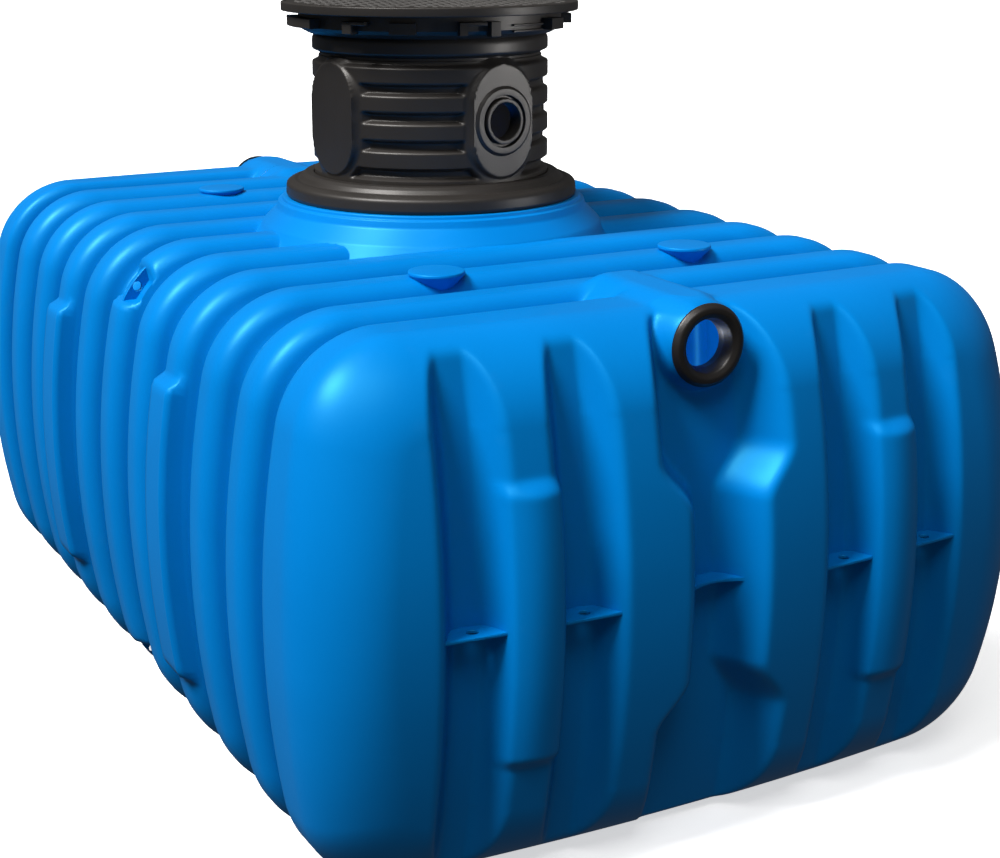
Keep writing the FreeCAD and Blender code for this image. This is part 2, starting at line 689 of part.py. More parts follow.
# Shaft: a tube with beads between valleys and four flat pads, the front one with a pipe port
def shaft():
    body = new_body("riser_shaft")
    wall = [
        ("shaft_bore_radius", "0"),
        ("shaft_radius", "0"),
        ("shaft_radius", "shaft_height"),
        ("shaft_bore_radius", "shaft_height"),
    ]
    turned(body, outline(body, "shaft_wall", "XZ_Plane", wall), "Z_Axis")
    valley = [
        ("shaft_radius", "bead_first - bead_valley_width / 2"),
        ("shaft_radius - bead_valley_depth", "bead_first"),
        ("shaft_radius", "bead_first + bead_valley_width / 2"),
    ]
    groove = body.newObject("PartDesign::Groove", "bead_valley")
    groove.Profile = outline(body, "valley_outline", "XZ_Plane", valley)
    groove.ReferenceAxis = (origin_item(body, "Z_Axis"), [""])
    doc.recompute()
    row = body.newObject("PartDesign::LinearPattern", "bead_valleys")
    row.Originals = [groove]
    row.Direction = (origin_item(body, "Z_Axis"), [""])
    bind(row, Length="(bead_count - 1) * bead_pitch", Occurrences="bead_count")
    body.Tip = row
    doc.recompute()
    half = "shaft_pad_width / 2"
    short = "(shaft_pad_width / 2 - shaft_pad_corner)"
    low = "(shaft_pad_level - shaft_pad_height / 2)"
    high = "(shaft_pad_level + shaft_pad_height / 2)"
    pad_outline = [
        (half, f"{low} + shaft_pad_corner"),
        (half, f"{high} - shaft_pad_corner"),
        (short, high),
        (f"-{short}", high),
        (f"-{half}", f"{high} - shaft_pad_corner"),
        (f"-{half}", f"{low} + shaft_pad_corner"),
        (f"-{short}", low),
        (short, low),
    ]
    pad = extruded(body, outline(body, "shaft_pad", "XZ_Plane", pad_outline), "shaft_pad_reach")
    ring = body.newObject("PartDesign::PolarPattern", "shaft_pads")
    ring.Originals = [pad]
    ring.Axis = (origin_item(body, "Z_Axis"), [""])
    ring.Angle = 360
    ring.Occurrences = 4
    body.Tip = ring
    doc.recompute()
    bore = body.newObject("PartDesign::Pocket", "shaft_bore")
    bore.Profile = circle(body, "bore_outline", "XY_Plane", "0", "shaft_bore_radius")
    bore.Reversed = True
    bind(bore, Length="shaft_height")
    doc.recompute()
    port = body.newObject("PartDesign::Pocket", "shaft_port")
    port.Profile = circle(body, "port_outline", "XZ_Plane", "shaft_pad_level", "seal_hole_radius")
    port.Reversed = True
    bind(port, Length="shaft_pad_reach")
    doc.recompute()
    body.Tip = port
    return place(body, z="shaft_base", axis=UP, angle="shaft_turn")


riser_shaft = shaft()


# Pipe seals: a flange outside and a sleeve through the wall
def pipe_seal(label, seat, height, turn):
    """Seal whose flange bears on a wall at a distance from the middle of the tank, towards -Y."""
    body = new_body(label)
    face = f"-({seat}) - seal_flange_thickness"
    inside = f"-({seat}) + seal_sleeve_length"
    points = [
        ("seal_bore_radius", face),
        ("seal_flange_radius", face),
        ("seal_flange_radius", f"-({seat})"),
        ("seal_hole_radius", f"-({seat})"),
        ("seal_hole_radius", inside),
        ("seal_bore_radius", inside),
    ]
    turned(body, outline(body, label + "_outline", "XY_Plane", points), "Y_Axis")
    return place(body, z=height, axis=UP, angle=turn)


front_pipe_seal = pipe_seal("front_pipe_seal", "recess_floor", "port_level", "0")
back_pipe_seal = mirrored("back_pipe_seal", front_pipe_seal, ALONG)
riser_pipe_seal = pipe_seal("riser_pipe_seal", "shaft_pad_reach", "shaft_base + shaft_pad_level", "shaft_turn")
pipe_seals = gathered("Compound", "pipe_seals", [front_pipe_seal, back_pipe_seal, riser_pipe_seal])

# Frame on top of the shaft, stepped out to carry the lid
lid_frame = round_body("lid_frame", [
    ("shaft_bore_radius", "frame_base"),
    ("frame_radius", "frame_base"),
    ("frame_radius", "lid_seat"),
    ("frame_radius - frame_wall", "lid_seat"),
    ("frame_radius - frame_wall", "frame_base + frame_wall"),
    ("shaft_bore_radius", "frame_base + frame_wall"),
])

# Lid: a plate with a rim that hangs round the frame
lid = round_body("lid", [
    ("0", "lid_seat"),
    ("lid_radius - lid_rim_thickness", "lid_seat"),
    ("lid_radius - lid_rim_thickness", "lid_seat - lid_rim_hang"),
    ("lid_radius", "lid_seat - lid_rim_hang"),
    ("lid_radius", "lid_seat + lid_plate_thickness"),
    ("0", "lid_seat + lid_plate_thickness"),
])

NODES = [
    tank_roof, tank_floor, left_wall, right_wall,
    upper_left_corner, upper_right_corner, lower_left_corner, lower_right_corner,
    front_rim, back_rim, front_end, back_end, access_neck, roof_bosses, floor_feet, roof_bridges, floor_bridges,
    left_wall_pads, right_wall_pads, left_lifting_eyes, right_lifting_eyes,
    front_face_pads, back_face_pads, front_tie_plates, back_tie_plates,
    pipe_seals, riser_collar, riser_shaft, lid_frame, lid,
]

doc.recompute()
for thing in doc.Objects:
    if "Invalid" in thing.State or "Error" in thing.State:
        raise RuntimeError(f"{thing.Label} did not build")
for node in NODES:
    if node.Shape.isNull() or not node.Shape.isValid() or not node.Shape.Solids:
        raise RuntimeError(f"{node.Label} has no sound solid")

os.makedirs("parts", exist_ok=True)
for node in NODES:
    node.Shape.exportStep(f"parts/{node.Label}.step")
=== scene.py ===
"""Looks of an underground cistern: moulded blue skin, black riser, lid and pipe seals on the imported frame."""

import json
import math

import bpy
import numpy as np
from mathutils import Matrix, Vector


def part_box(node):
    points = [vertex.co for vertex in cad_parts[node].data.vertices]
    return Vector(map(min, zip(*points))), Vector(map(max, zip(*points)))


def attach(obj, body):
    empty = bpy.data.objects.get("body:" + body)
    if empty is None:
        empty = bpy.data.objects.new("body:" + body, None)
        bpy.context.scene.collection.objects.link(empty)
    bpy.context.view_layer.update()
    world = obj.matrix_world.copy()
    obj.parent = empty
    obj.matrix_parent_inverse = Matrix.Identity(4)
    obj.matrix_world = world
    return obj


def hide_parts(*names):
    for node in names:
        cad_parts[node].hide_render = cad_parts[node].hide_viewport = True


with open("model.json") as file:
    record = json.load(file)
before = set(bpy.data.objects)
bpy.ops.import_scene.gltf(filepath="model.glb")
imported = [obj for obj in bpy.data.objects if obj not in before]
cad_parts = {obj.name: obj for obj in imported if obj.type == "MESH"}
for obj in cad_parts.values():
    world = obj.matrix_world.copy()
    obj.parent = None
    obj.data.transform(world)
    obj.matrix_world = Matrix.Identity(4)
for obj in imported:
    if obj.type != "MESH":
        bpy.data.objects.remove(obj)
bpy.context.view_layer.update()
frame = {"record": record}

# Sizes that the frame gives, in metres. X runs across the tank, Y along it, Z up.
HALF_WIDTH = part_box("front_rim")[1][0]
FLOOR_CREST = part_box("tank_floor")[0][2]
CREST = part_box("tank_roof")[1][2]
HALF_HEIGHT = (CREST - FLOOR_CREST) / 2
MIDDLE = (CREST + FLOOR_CREST) / 2
FACE = -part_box("front_end")[0][1]
BARREL_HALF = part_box("tank_roof")[1][1]
COLLAR_LOW, COLLAR_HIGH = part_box("riser_collar")
FRAME_LOW, FRAME_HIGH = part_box("lid_frame")
LID_LOW, LID_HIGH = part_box("lid")
SHAFT_LOW, SHAFT_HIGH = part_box("riser_shaft")
MOUNTS = {mount["name"]: mount for mount in frame["record"]["mounts"]}
MM_PER_METRE = 1000

# Outline of the tank: bowed walls and rounded corners, their middles measured from the tank's middle
WALL_BOW = 2.2
CORNER_RADIUS = 0.245
BOW_MIDDLE = HALF_WIDTH - WALL_BOW
CORNER_UP = HALF_HEIGHT - CORNER_RADIUS
CORNER_ACROSS = BOW_MIDDLE + math.sqrt((WALL_BOW - CORNER_RADIUS) ** 2 - CORNER_UP ** 2)

# Ribs: half a flat crest, a round down to a flank of a given steepest sine, and a tight round into the valley
RIB_COUNT = 9
RIB_PITCH = 2 * BARREL_HALF / RIB_COUNT
RIB_FLAT = 0.019
RIB_ROUND = 0.055
RIB_STEEPEST = 0.966
RIB_DEPTH = 0.068
VALLEY_ROUND = 0.016

# Distances from a rib's middle at which its skin has points, closest together at the steep flank
RIB_STEPS = (0.0, RIB_FLAT, 0.033, 0.045, 0.054, 0.061, 0.066,
             0.0695, 0.072, 0.0755, 0.079, 0.0835, 0.088, 0.105)

# Ends: a rounded rim and a bowed face with grooves, a waisted recess, pads and the boss of the port
END_CREST = BARREL_HALF + RIB_PITCH / 2
END_ROUND = 0.19
END_BOW_UP = 1.85
END_BOW_ACROSS = 6.0
INNER_GROOVE = 0.360
OUTER_GROOVE = 0.627
GROOVE_PLACES = (-OUTER_GROOVE, -INNER_GROOVE, INNER_GROOVE, OUTER_GROOVE)
GROOVE_FLOOR_HALF = 0.026
GROOVE_SLOPE = 0.078
GROOVE_DEPTH = 0.080
RECESS_DEPTH = 0.125
RECESS_SLOPE = 0.100
RECESS_NECK_HALF = 0.076
RECESS_WIDE_HALF = 0.150
RECESS_NECK_REACH = 0.195
RECESS_WIDE_REACH = 0.325
CARVING_ROUND = 0.040
FACE_PAD_MIDDLE = (INNER_GROOVE + OUTER_GROOVE) / 2
FACE_PAD_RISE = 0.024
FACE_PAD_CROWN = 0.016
FACE_PAD_HALF_WIDTH = 0.060
FACE_PAD_HALF_HEIGHT = 0.296
FACE_PAD_SIDE_SLOPE = 0.018
FACE_PAD_END_SLOPE = 0.039
PORT_LEVEL = MOUNTS["inlet_port"]["pos_m"][2]
PORT_HOLE = 0.080
PORT_HOLE_FROM = 0.08
PORT_HOLE_TO = 0.16
PORT_BOSS = 0.088
PORT_BOSS_SLOPE = 0.030
PORT_BOSS_RUN = 0.050

# Bridges over the first valley at each end; on the roof they run on as a hood behind the port
BRIDGE_HALF_WIDTH = 0.030
BRIDGE_HALF_LENGTH = 0.090
BRIDGE_SLOPE = 0.190
BRIDGE_RUN = 0.110
BRIDGE_FALL = 0.110
BRIDGE_RISE = 0.021
FLOOR_BRIDGE_RISE = 0.008
HOOD_SETBACK = 0.040
HOOD_STOP = FACE - RECESS_DEPTH - HOOD_SETBACK
HOOD_RUN = 0.060
HOOD_FALL = 0.300

# Flare of the roof round the access neck, and the opening under it
FLARE_START = 0.430
FLARE_STOP = 0.540
FLARE_RISE = 0.045
FLARE_FALL = 0.080
OPENING_RADIUS = 0.40

# Pads on the walls, and notches for the lifting eyes, with their lean and turns in degrees
WALL_PAD_PLACE = 2 * RIB_PITCH
WALL_PAD_RISE = 0.022
WALL_PAD_HALF_WIDTH = 0.056
WALL_PAD_HALF_HEIGHT = 0.362
WALL_PAD_SIDE_SLOPE = 0.018
WALL_PAD_END_SLOPE = 0.070
NOTCH_DEPTH = 0.046
NOTCH_HALF_LENGTH = 0.060
NOTCH_LENGTH_SLOPE = 0.030
NOTCH_LEAN = 38.0
NOTCH_HALF_TURN = 8.0
NOTCH_TURN_SLOPE = 8.0

# Upward parts of the normals that tell level and upright skin, and widths over which forms melt together
LEVEL_NORMAL = 0.95
UPRIGHT_NORMAL = 0.5
ROOF_BLEND = 0.020
WALL_BLEND = 0.008

# Numbers of points round the roof, a corner and a wall, of rows on an end, and of passes over its face
BARREL_STEPS = (92, 22, 54)
END_STEPS = (248, 40, 120)
END_FLAT_ROWS = 6
END_ROUND_ROWS = 26
RELAX_PASSES = 160
EASE_PASSES = 2

# Numbers of points round turned pieces, and how near the axis a disc's outline stops
RING_POINTS = 160
WIDE_RING_POINTS = 192
SEAL_POINTS = 96
BOSS_POINTS = 48
AXIS_GAP = 0.0005


# Small helpers on arrays
def smooth_step(share):
    """0 below 0, 1 above 1 and an even S-curve between."""
    share = np.clip(share, 0.0, 1.0)
    return share * share * (3.0 - 2.0 * share)


def plateau(distance, half, slope):
    """1 within half a width, easing to 0 over a slope outside it."""
    return smooth_step((half + slope - np.abs(distance)) / slope)


def soft_max(a, b, blend):
    """Larger of two values, rounded where they cross."""
    share = np.clip(0.5 + 0.5 * (a - b) / blend, 0.0, 1.0)
    return b + (a - b) * share + blend * share * (1.0 - share)


def soft_min(a, b, blend):
    """Smaller of two values, rounded where they cross."""
    return -soft_max(-a, -b, blend)


# Meshes
def grid_faces(index, closed_rows=False, closed_columns=False):
    """Quads of a grid of vertex numbers, joined end to end where it closes."""
    rows = np.vstack([index, index[:1]]) if closed_rows else index
    full = np.hstack([rows, rows[:, :1]]) if closed_columns else rows
    corners = (full[:-1, :-1], full[:-1, 1:], full[1:, 1:], full[1:, :-1])
    return np.stack([corner.ravel() for corner in corners], axis=1)


def cap_quads(ring, order):
    """Three quads that close a ring of eight points, facing one way or, with order -1, the other."""
    a, b, c, d, e, f, g, h = ring
    return [quad[::order] for quad in ((a, b, c, d), (a, d, e, h), (h, e, f, g))]


def joined(parts):
    """One list of points and one of faces from several (points, faces) pairs."""
    points = []
    faces = []
    start = 0
    for part_points, part_faces in parts:
        points.append(np.asarray(part_points, dtype=float))
        faces.append(np.asarray(part_faces) + start)
        start += len(part_points)
    return np.vstack(points), np.vstack(faces)


def piece(name, points, faces, material, slot, body="tank", replaced=(), sharp=38):
    """Mesh object from points and quads that rides a body and stands for CAD nodes.

    Edges that turn by more than sharp degrees stay crisp.
    """
    points = np.asarray(points, dtype=np.float32)
    faces = np.asarray(faces, dtype=np.int32)
    used = np.unique(faces)
    number = np.full(len(points), -1, dtype=np.int32)
    number[used] = np.arange(len(used))
    points = points[used]
    faces = number[faces]
    mesh = bpy.data.meshes.new(name)
    mesh.vertices.add(len(points))
    mesh.vertices.foreach_set("co", points.ravel())
    mesh.loops.add(faces.size)
    mesh.loops.foreach_set("vertex_index", faces.ravel())
    mesh.polygons.add(len(faces))
    mesh.polygons.foreach_set("loop_start", np.arange(0, faces.size, faces.shape[1], dtype=np.int32))
    mesh.update(calc_edges=True)
    mesh.validate()
    mesh.shade_smooth()
    mesh.set_sharp_from_angle(angle=math.radians(sharp))
    mesh.materials.append(material)
    thing = bpy.data.objects.new(name, mesh)
    bpy.context.scene.collection.objects.link(thing)
    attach(thing, body)
    if replaced:
        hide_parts(*replaced)
    return thing


def rounded(corners, steps=5, most=0.49):
    """Closed outline from (a, b, radius) corners, each eased into a curve like an arc of that radius.

    A curve takes up no more than the share called most of the sides next to it.
    """
    spots = [np.array(corner[:2]) for corner in corners]
    outline = []
    for place, here in enumerate(spots):
        radius = corners[place][2]
        before = spots[place - 1] - here
        after = spots[(place + 1) % len(spots)] - here
        if radius <= 0.0:
            outline.append(here)
            continue
        before_length = np.linalg.norm(before)
        after_length = np.linalg.norm(after)
        before = before / before_length
        after = after / after_length
        half_angle = math.acos(np.clip(before @ after, -1.0, 1.0)) / 2
        reach = min(radius / math.tan(half_angle), most * before_length, most * after_length)
        start = here + before * reach
        stop = here + after * reach
        for step in range(steps + 1):
            share = step / steps
            edge = (1 - share) ** 2 * start + 2 * share * (1 - share) * here + share ** 2 * stop
            outline.append(edge)
    return np.array(outline)


def lathe(outline, segments, centre=(0.0, 0.0, 0.0)):
    """Ring turned about Z from a closed outline of (radius, height) that runs clear of the axis."""
    angles = np.arange(segments) * 2 * math.pi / segments
    radius = outline[:, 0][None, :]
    height = np.broadcast_to(outline[:, 1][None, :], (segments, len(outline)))
    x = np.cos(angles)[:, None] * radius
    y = np.sin(angles)[:, None] * radius
    points = np.stack([x, y, height], axis=-1)
    index = np.arange(segments * len(outline)).reshape(segments, len(outline))
    return points.reshape(-1, 3) + np.array(centre), grid_faces(index, True, True)


def disc(outline, segments, centre=(0.0, 0.0, 0.0)):
    """Solid of revolution from an open outline of (radius, height) whose ends lie close to the axis."""
    points, faces = lathe(outline, segments, centre)
    rim = len(outline)
    keep = np.ones(len(faces), dtype=bool)
    keep[rim - 1::rim] = False
    return points, faces[keep]


def turned_to(points, axis, place):
    """Points about Z laid along another axis, at a place."""
    forward = np.array(axis, dtype=float)
    forward /= np.linalg.norm(forward)
    side = np.cross((0.0, 0.0, 1.0), forward)
    side /= np.linalg.norm(side)
    up = np.cross(forward, side)
    return points @ np.stack([side, up, forward]) + np.array(place)


def plate_with_hole(outline, hole_centre, hole_radius, thickness, edge=0.0015):
    """Flat plate in the XY plane with a round hole, its edges broken by a small bevel."""
    count = len(outline)
    ray = outline - np.array(hole_centre)
    angles = np.arctan2(ray[:, 1], ray[:, 0])
    ring = np.stack([np.cos(angles), np.sin(angles)], axis=1)
    centre = outline.mean(axis=0)
    inner = hole_centre + ring * hole_radius
    inner_edge = hole_centre + ring * (hole_radius + edge)
    outer_edge = outline + (centre - outline) * edge / np.linalg.norm(centre - outline, axis=1)[:, None]
    half = thickness / 2
    loops = [(inner, half - edge), (inner_edge, half), (outer_edge, half), (outline, half - edge),
             (outline, edge - half), (outer_edge, -half), (inner_edge, -half), (inner, edge - half)]
    points = np.stack([np.column_stack([loop, np.full(count, height)]) for loop, height in loops], axis=1)
    index = np.arange(count * len(loops)).reshape(count, len(loops))
    return points.reshape(-1, 3), grid_faces(index, True, True)


def resampled(corners, count):
    """Evenly spaced points round a closed outline of straight lines, and its corners."""
    spots = np.array(corners + corners[:1], dtype=float)
    steps = np.linalg.norm(np.diff(spots, axis=0), axis=1)
    along = np.concatenate([[0.0], np.cumsum(steps)])
    places = np.arange(count) * along[-1] / count
    places = np.sort(np.concatenate([places, along[1:-1]]))
    return np.column_stack([np.interp(places, along, spots[:, 0]), np.interp(places, along, spots[:, 1])])


def block(low, high, bevel, least=0.2):
    """Box between two corners with bevelled edges, that keeps at least a share of each side straight."""
    low = np.array(low)
    high = np.array(high)
    centre = (low + high) / 2
    half = (high - low) / 2
    levels = [(-1, 1), (-1, 0), (1, 0), (1, 1)]
    points = []
    for sign, inset in levels:
        x = half[0] - bevel * inset
        y = half[1] - bevel * inset
        z = sign * (half[2] - bevel * (1 - inset))
        flat_x = max(x - bevel, least * x)
        flat_y = max(y - bevel, least * y)
        points.extend([(flat_x, -y, z), (x, -flat_y, z), (x, flat_y, z), (flat_x, y, z),
                       (-flat_x, y, z), (-x, flat_y, z), (-x, -flat_y, z), (-flat_x, -y, z)])
    index = np.arange(len(points)).reshape(len(levels), -1)
    caps = cap_quads(index[0], -1) + cap_quads(index[-1], 1)
    return np.array(points) + centre, np.vstack([grid_faces(index, False, True), np.array(caps)])


def sector_block(start, stop, radii, levels, bevel, step=0.012):
    """Curved block about Z with bevelled long edges, in steps along its outside.

    It runs between two turns from the -Y side, two radii and two levels.
    """
    low, high = radii
    bottom, top = levels
    ring = np.array([(low + bevel, bottom), (high - bevel, bottom),
                     (high, bottom + bevel), (high, top - bevel),
                     (high - bevel, top), (low + bevel, top),
                     (low, top - bevel), (low, bottom + bevel)])
    steps = max(2, int((stop - start) * high / step))
    turns = np.linspace(start, stop, steps + 1)[:, None]
    level = np.broadcast_to(ring[:, 1], (steps + 1, len(ring)))
    points = np.stack([ring[:, 0] * np.sin(turns), -ring[:, 0] * np.cos(turns), level], axis=-1)
    index = np.arange(level.size).reshape(level.shape)
    caps = cap_quads(index[0], 1) + cap_quads(index[-1], -1)
    return points.reshape(-1, 3), np.vstack([grid_faces(index, False, True)[:, ::-1], np.array(caps)])


# Materials: each varies in colour, gloss and grain over the surface
DUST_COLOUR = (0.12, 0.20, 0.24)
GRAIN_HEIGHT = 0.002


def plastic(name, colour, shade, roughness, spread, grain, dust, shine, tint):
    """Moulded plastic with cloudy colour, uneven gloss, fine grain and faint patches of dust."""
    material = bpy.data.materials.new(name)
    material.use_nodes = True
    nodes = material.node_tree.nodes
    links = material.node_tree.links
    shader = nodes["Principled BSDF"]
    shader.inputs["Specular IOR Level"].default_value = shine
    shader.inputs["Specular Tint"].default_value = (*tint, 1.0)
    place = nodes.new("ShaderNodeTexCoord")

    def noise(scale, detail, distortion=0.0):
        texture = nodes.new("ShaderNodeTexNoise")
        texture.inputs["Scale"].default_value = scale
        texture.inputs["Detail"].default_value = detail
        texture.inputs["Distortion"].default_value = distortion
        links.new(place.outputs["Object"], texture.inputs["Vector"])
        return texture.outputs["Fac"]

    def ramp(source, low, high, first, last):
        band = nodes.new("ShaderNodeValToRGB")
        band.color_ramp.elements[0].position = low
        band.color_ramp.elements[1].position = high
        band.color_ramp.elements[0].color = (*first, 1.0)
        band.color_ramp.elements[1].color = (*last, 1.0)
        links.new(source, band.inputs["Fac"])
        return band.outputs["Color"]

    cloud_noise = noise(scale=2.3, detail=4.0, distortion=0.4)
    clouds = ramp(cloud_noise, low=0.35, high=0.70, first=shade, last=colour)
    dust_noise = noise(scale=11.0, detail=6.0)
    patches = ramp(dust_noise, low=0.62, high=0.80, first=(0.0, 0.0, 0.0), last=(1.0, 1.0, 1.0))
    mix = nodes.new("ShaderNodeMix")
    mix.data_type = "RGBA"
    mix.blend_type = "SCREEN"
    links.new(clouds, mix.inputs["A"])
    strength = nodes.new("ShaderNodeMath")
    strength.operation = "MULTIPLY"
    strength.inputs[1].default_value = dust
    links.new(patches, strength.inputs[0])
    links.new(strength.outputs[0], mix.inputs["Factor"])
    mix.inputs["B"].default_value = (*DUST_COLOUR, 1.0)
    links.new(mix.outputs["Result"], shader.inputs["Base Color"])
    gloss = nodes.new("ShaderNodeMapRange")
    gloss.inputs["To Min"].default_value = roughness - spread
    gloss.inputs["To Max"].default_value = roughness + spread
    links.new(noise(scale=5.0, detail=5.0, distortion=0.8), gloss.inputs["Value"])
    links.new(gloss.outputs["Result"], shader.inputs["Roughness"])
    bump = nodes.new("ShaderNodeBump")
    bump.inputs["Strength"].default_value = grain
    bump.inputs["Distance"].default_value = GRAIN_HEIGHT
    links.new(noise(scale=160.0, detail=3.0), bump.inputs["Height"])
    links.new(bump.outputs["Normal"], shader.inputs["Normal"])
    return material


BLUE = plastic("blue_plastic", colour=(0.0, 0.176, 0.53), shade=(0.0, 0.162, 0.49), roughness=0.39,
               spread=0.05, grain=0.05, dust=0.02, shine=0.42, tint=(0.10, 0.80, 1.0))
BLACK = plastic("black_plastic", colour=(0.022, 0.0195, 0.0175), shade=(0.016, 0.014, 0.0125), roughness=0.42,
                spread=0.07, grain=0.10, dust=0.05, shine=0.38, tint=(1.0, 0.96, 0.92))
WORN_BLACK = plastic("worn_black_plastic", colour=(0.090, 0.086, 0.082), shade=(0.060, 0.057, 0.054),
                     roughness=0.36, spread=0.07, grain=0.10, dust=0.08, shine=0.50, tint=(1.0, 0.98, 0.96))
RUBBER = plastic("black_rubber", colour=(0.014, 0.012, 0.011), shade=(0.009, 0.008, 0.008), roughness=0.38,
                 spread=0.08, grain=0.12, dust=0.05, shine=0.45, tint=(1.0, 0.98, 0.96))


# Skin of the tank
def barrel_outline(roof_steps, corner_steps, wall_steps):
    """Points and outward normals round the crests, from the middle of the upper right corner."""
    lean = math.asin(CORNER_UP / (WALL_BOW - CORNER_RADIUS))
    points = []
    normals = []

    def arc(x, z, radius, start, stop, steps):
        angles = start + (stop - start) * np.arange(steps) / steps
        ray = np.stack([np.cos(angles), np.sin(angles)], axis=1)
        points.append(np.array([x, z]) + radius * ray)
        normals.append(ray)

    def flat(start, stop, z, steps):
        x = start + (stop - start) * np.arange(steps) / steps
        points.append(np.column_stack([x, np.full(steps, z)]))
        normals.append(np.tile([0.0, math.copysign(1.0, z)], (steps, 1)))

    quarter = math.pi / 2
    arc(BOW_MIDDLE, 0.0, WALL_BOW, -lean, lean, wall_steps)
    arc(CORNER_ACROSS, CORNER_UP, CORNER_RADIUS, lean, quarter, corner_steps)
    flat(CORNER_ACROSS, -CORNER_ACROSS, HALF_HEIGHT, roof_steps)
    arc(-CORNER_ACROSS, CORNER_UP, CORNER_RADIUS, quarter, 2 * quarter - lean, corner_steps)
    arc(-BOW_MIDDLE, 0.0, WALL_BOW, 2 * quarter - lean, 2 * quarter + lean, wall_steps)
    arc(-CORNER_ACROSS, -CORNER_UP, CORNER_RADIUS, 2 * quarter + lean, 3 * quarter, corner_steps)
    flat(-CORNER_ACROSS, CORNER_ACROSS, -HALF_HEIGHT, roof_steps)
    arc(CORNER_ACROSS, -CORNER_UP, CORNER_RADIUS, 3 * quarter, 4 * quarter - lean, corner_steps)
    shift = -(wall_steps + corner_steps // 2)
    return np.roll(np.vstack(points), shift, axis=0), np.roll(np.vstack(normals), shift, axis=0)


def rib_inset(away):
    """Depth below a rib's crest at a distance from its middle: a flat, a steep round and a level valley."""
    turn = np.clip((away - RIB_FLAT) / RIB_ROUND, 0.0, RIB_STEEPEST)
    flank = RIB_ROUND * (1.0 - np.sqrt(1.0 - turn * turn))
    foot = RIB_ROUND * (1.0 - math.sqrt(1.0 - RIB_STEEPEST ** 2))
    past = np.clip((away - RIB_FLAT - RIB_ROUND * RIB_STEEPEST) / VALLEY_ROUND, 0.0, 1.0)
    return flank + (RIB_DEPTH - foot) * np.sin(past * math.pi / 2)


def with_bridges(inset, across, along, normal_up):
    """Raises the bridges out of the first valleys, on the roof and under the floor."""
    rise = np.where(normal_up > 0, BRIDGE_RISE, FLOOR_BRIDGE_RISE)
    stop = np.where(normal_up > 0, HOOD_STOP, BARREL_HALF + BRIDGE_HALF_LENGTH)
    past = np.abs(along) - stop
    before = BARREL_HALF - BRIDGE_HALF_LENGTH - np.abs(along)
    bridge = BRIDGE_FALL * smooth_step((np.abs(across) - BRIDGE_HALF_WIDTH) / BRIDGE_SLOPE) - rise
    bridge = bridge + BRIDGE_FALL * smooth_step(before / BRIDGE_RUN)
    bridge = bridge + HOOD_FALL * smooth_step(past / HOOD_RUN)
    chosen = (np.abs(normal_up) > LEVEL_NORMAL) & (bridge < inset + ROOF_BLEND)
    return np.where(chosen, soft_min(inset, bridge, ROOF_BLEND), inset)


def with_flare(inset, across, along, normal_up):
    """Raises the roof towards the access neck."""
    reach = np.hypot(across, along)
    share = smooth_step((reach - FLARE_START) / (FLARE_STOP - FLARE_START))
    flare = (FLARE_RISE + FLARE_FALL) * share - FLARE_RISE
    chosen = (normal_up > LEVEL_NORMAL) & (reach < FLARE_STOP)
    return np.where(chosen, soft_min(inset, flare, ROOF_BLEND), inset)


def with_wall_pads(inset, along, normal_up, height):
    """Raises a pad on two ribs of each wall."""
    past_end = (np.abs(height) - WALL_PAD_HALF_HEIGHT) / WALL_PAD_END_SLOPE
    past_side = (np.abs(np.abs(along) - WALL_PAD_PLACE) - WALL_PAD_HALF_WIDTH) / WALL_PAD_SIDE_SLOPE
    edge = np.maximum(past_end, past_side)
    pad = (WALL_PAD_RISE + RIB_DEPTH) * smooth_step(edge) - WALL_PAD_RISE
    chosen = (np.abs(normal_up) < UPRIGHT_NORMAL) & (edge < 1.0)
    return np.where(chosen, soft_min(inset, pad, WALL_BLEND), inset)


def with_notches(inset, along, normal_up):
    """Sinks the notches of the lifting eyes into the corners of the middle rib."""
    lean = np.degrees(np.arcsin(np.clip(np.abs(normal_up), 0.0, 1.0)))
    lengthwise = plateau(along, NOTCH_HALF_LENGTH, NOTCH_LENGTH_SLOPE)
    notch = lengthwise * plateau(lean - NOTCH_LEAN, NOTCH_HALF_TURN, NOTCH_TURN_SLOPE)
    return np.where(notch > 0, np.maximum(inset, NOTCH_DEPTH * notch), inset)


def moulded_inset(inset, across, along, normal_up, height):
    """Adds bridges, the neck's flare, wall pads and notches to the plain ribs, as depth below the crests."""
    inset = with_bridges(inset, across, along, normal_up)
    inset = with_flare(inset, across, along, normal_up)
    inset = with_wall_pads(inset, along, normal_up, height)
    return with_notches(inset, along, normal_up)


def end_rows():
    """Places along the tank and depths below the crests, from the last valley to the edge of a face."""
    away = np.append(RIB_STEPS[1:], RIB_PITCH / 2)[::-1]
    flank_along = END_CREST - away
    flank_inset = rib_inset(away)
    flat_stop = FACE - END_ROUND
    flat_along = END_CREST + (flat_stop - END_CREST) * np.arange(END_FLAT_ROWS) / END_FLAT_ROWS
    angles = np.arange(END_ROUND_ROWS + 1) / END_ROUND_ROWS * math.pi / 2
    along = np.concatenate([flank_along, flat_along, flat_stop + END_ROUND * np.sin(angles)])
    inset = np.concatenate([flank_inset, np.zeros(END_FLAT_ROWS), END_ROUND * (1.0 - np.cos(angles))])
    return along, inset


def carved(along, depth):
    """Cuts an end down to a depth below its face, with rounded edges."""
    excess = along - (FACE - depth)
    eased_cut = excess * excess / (2 * CARVING_ROUND)
    cut = np.where(excess < CARVING_ROUND, eased_cut, excess - CARVING_ROUND / 2)
    return along - np.where(excess > 0, cut, 0.0)


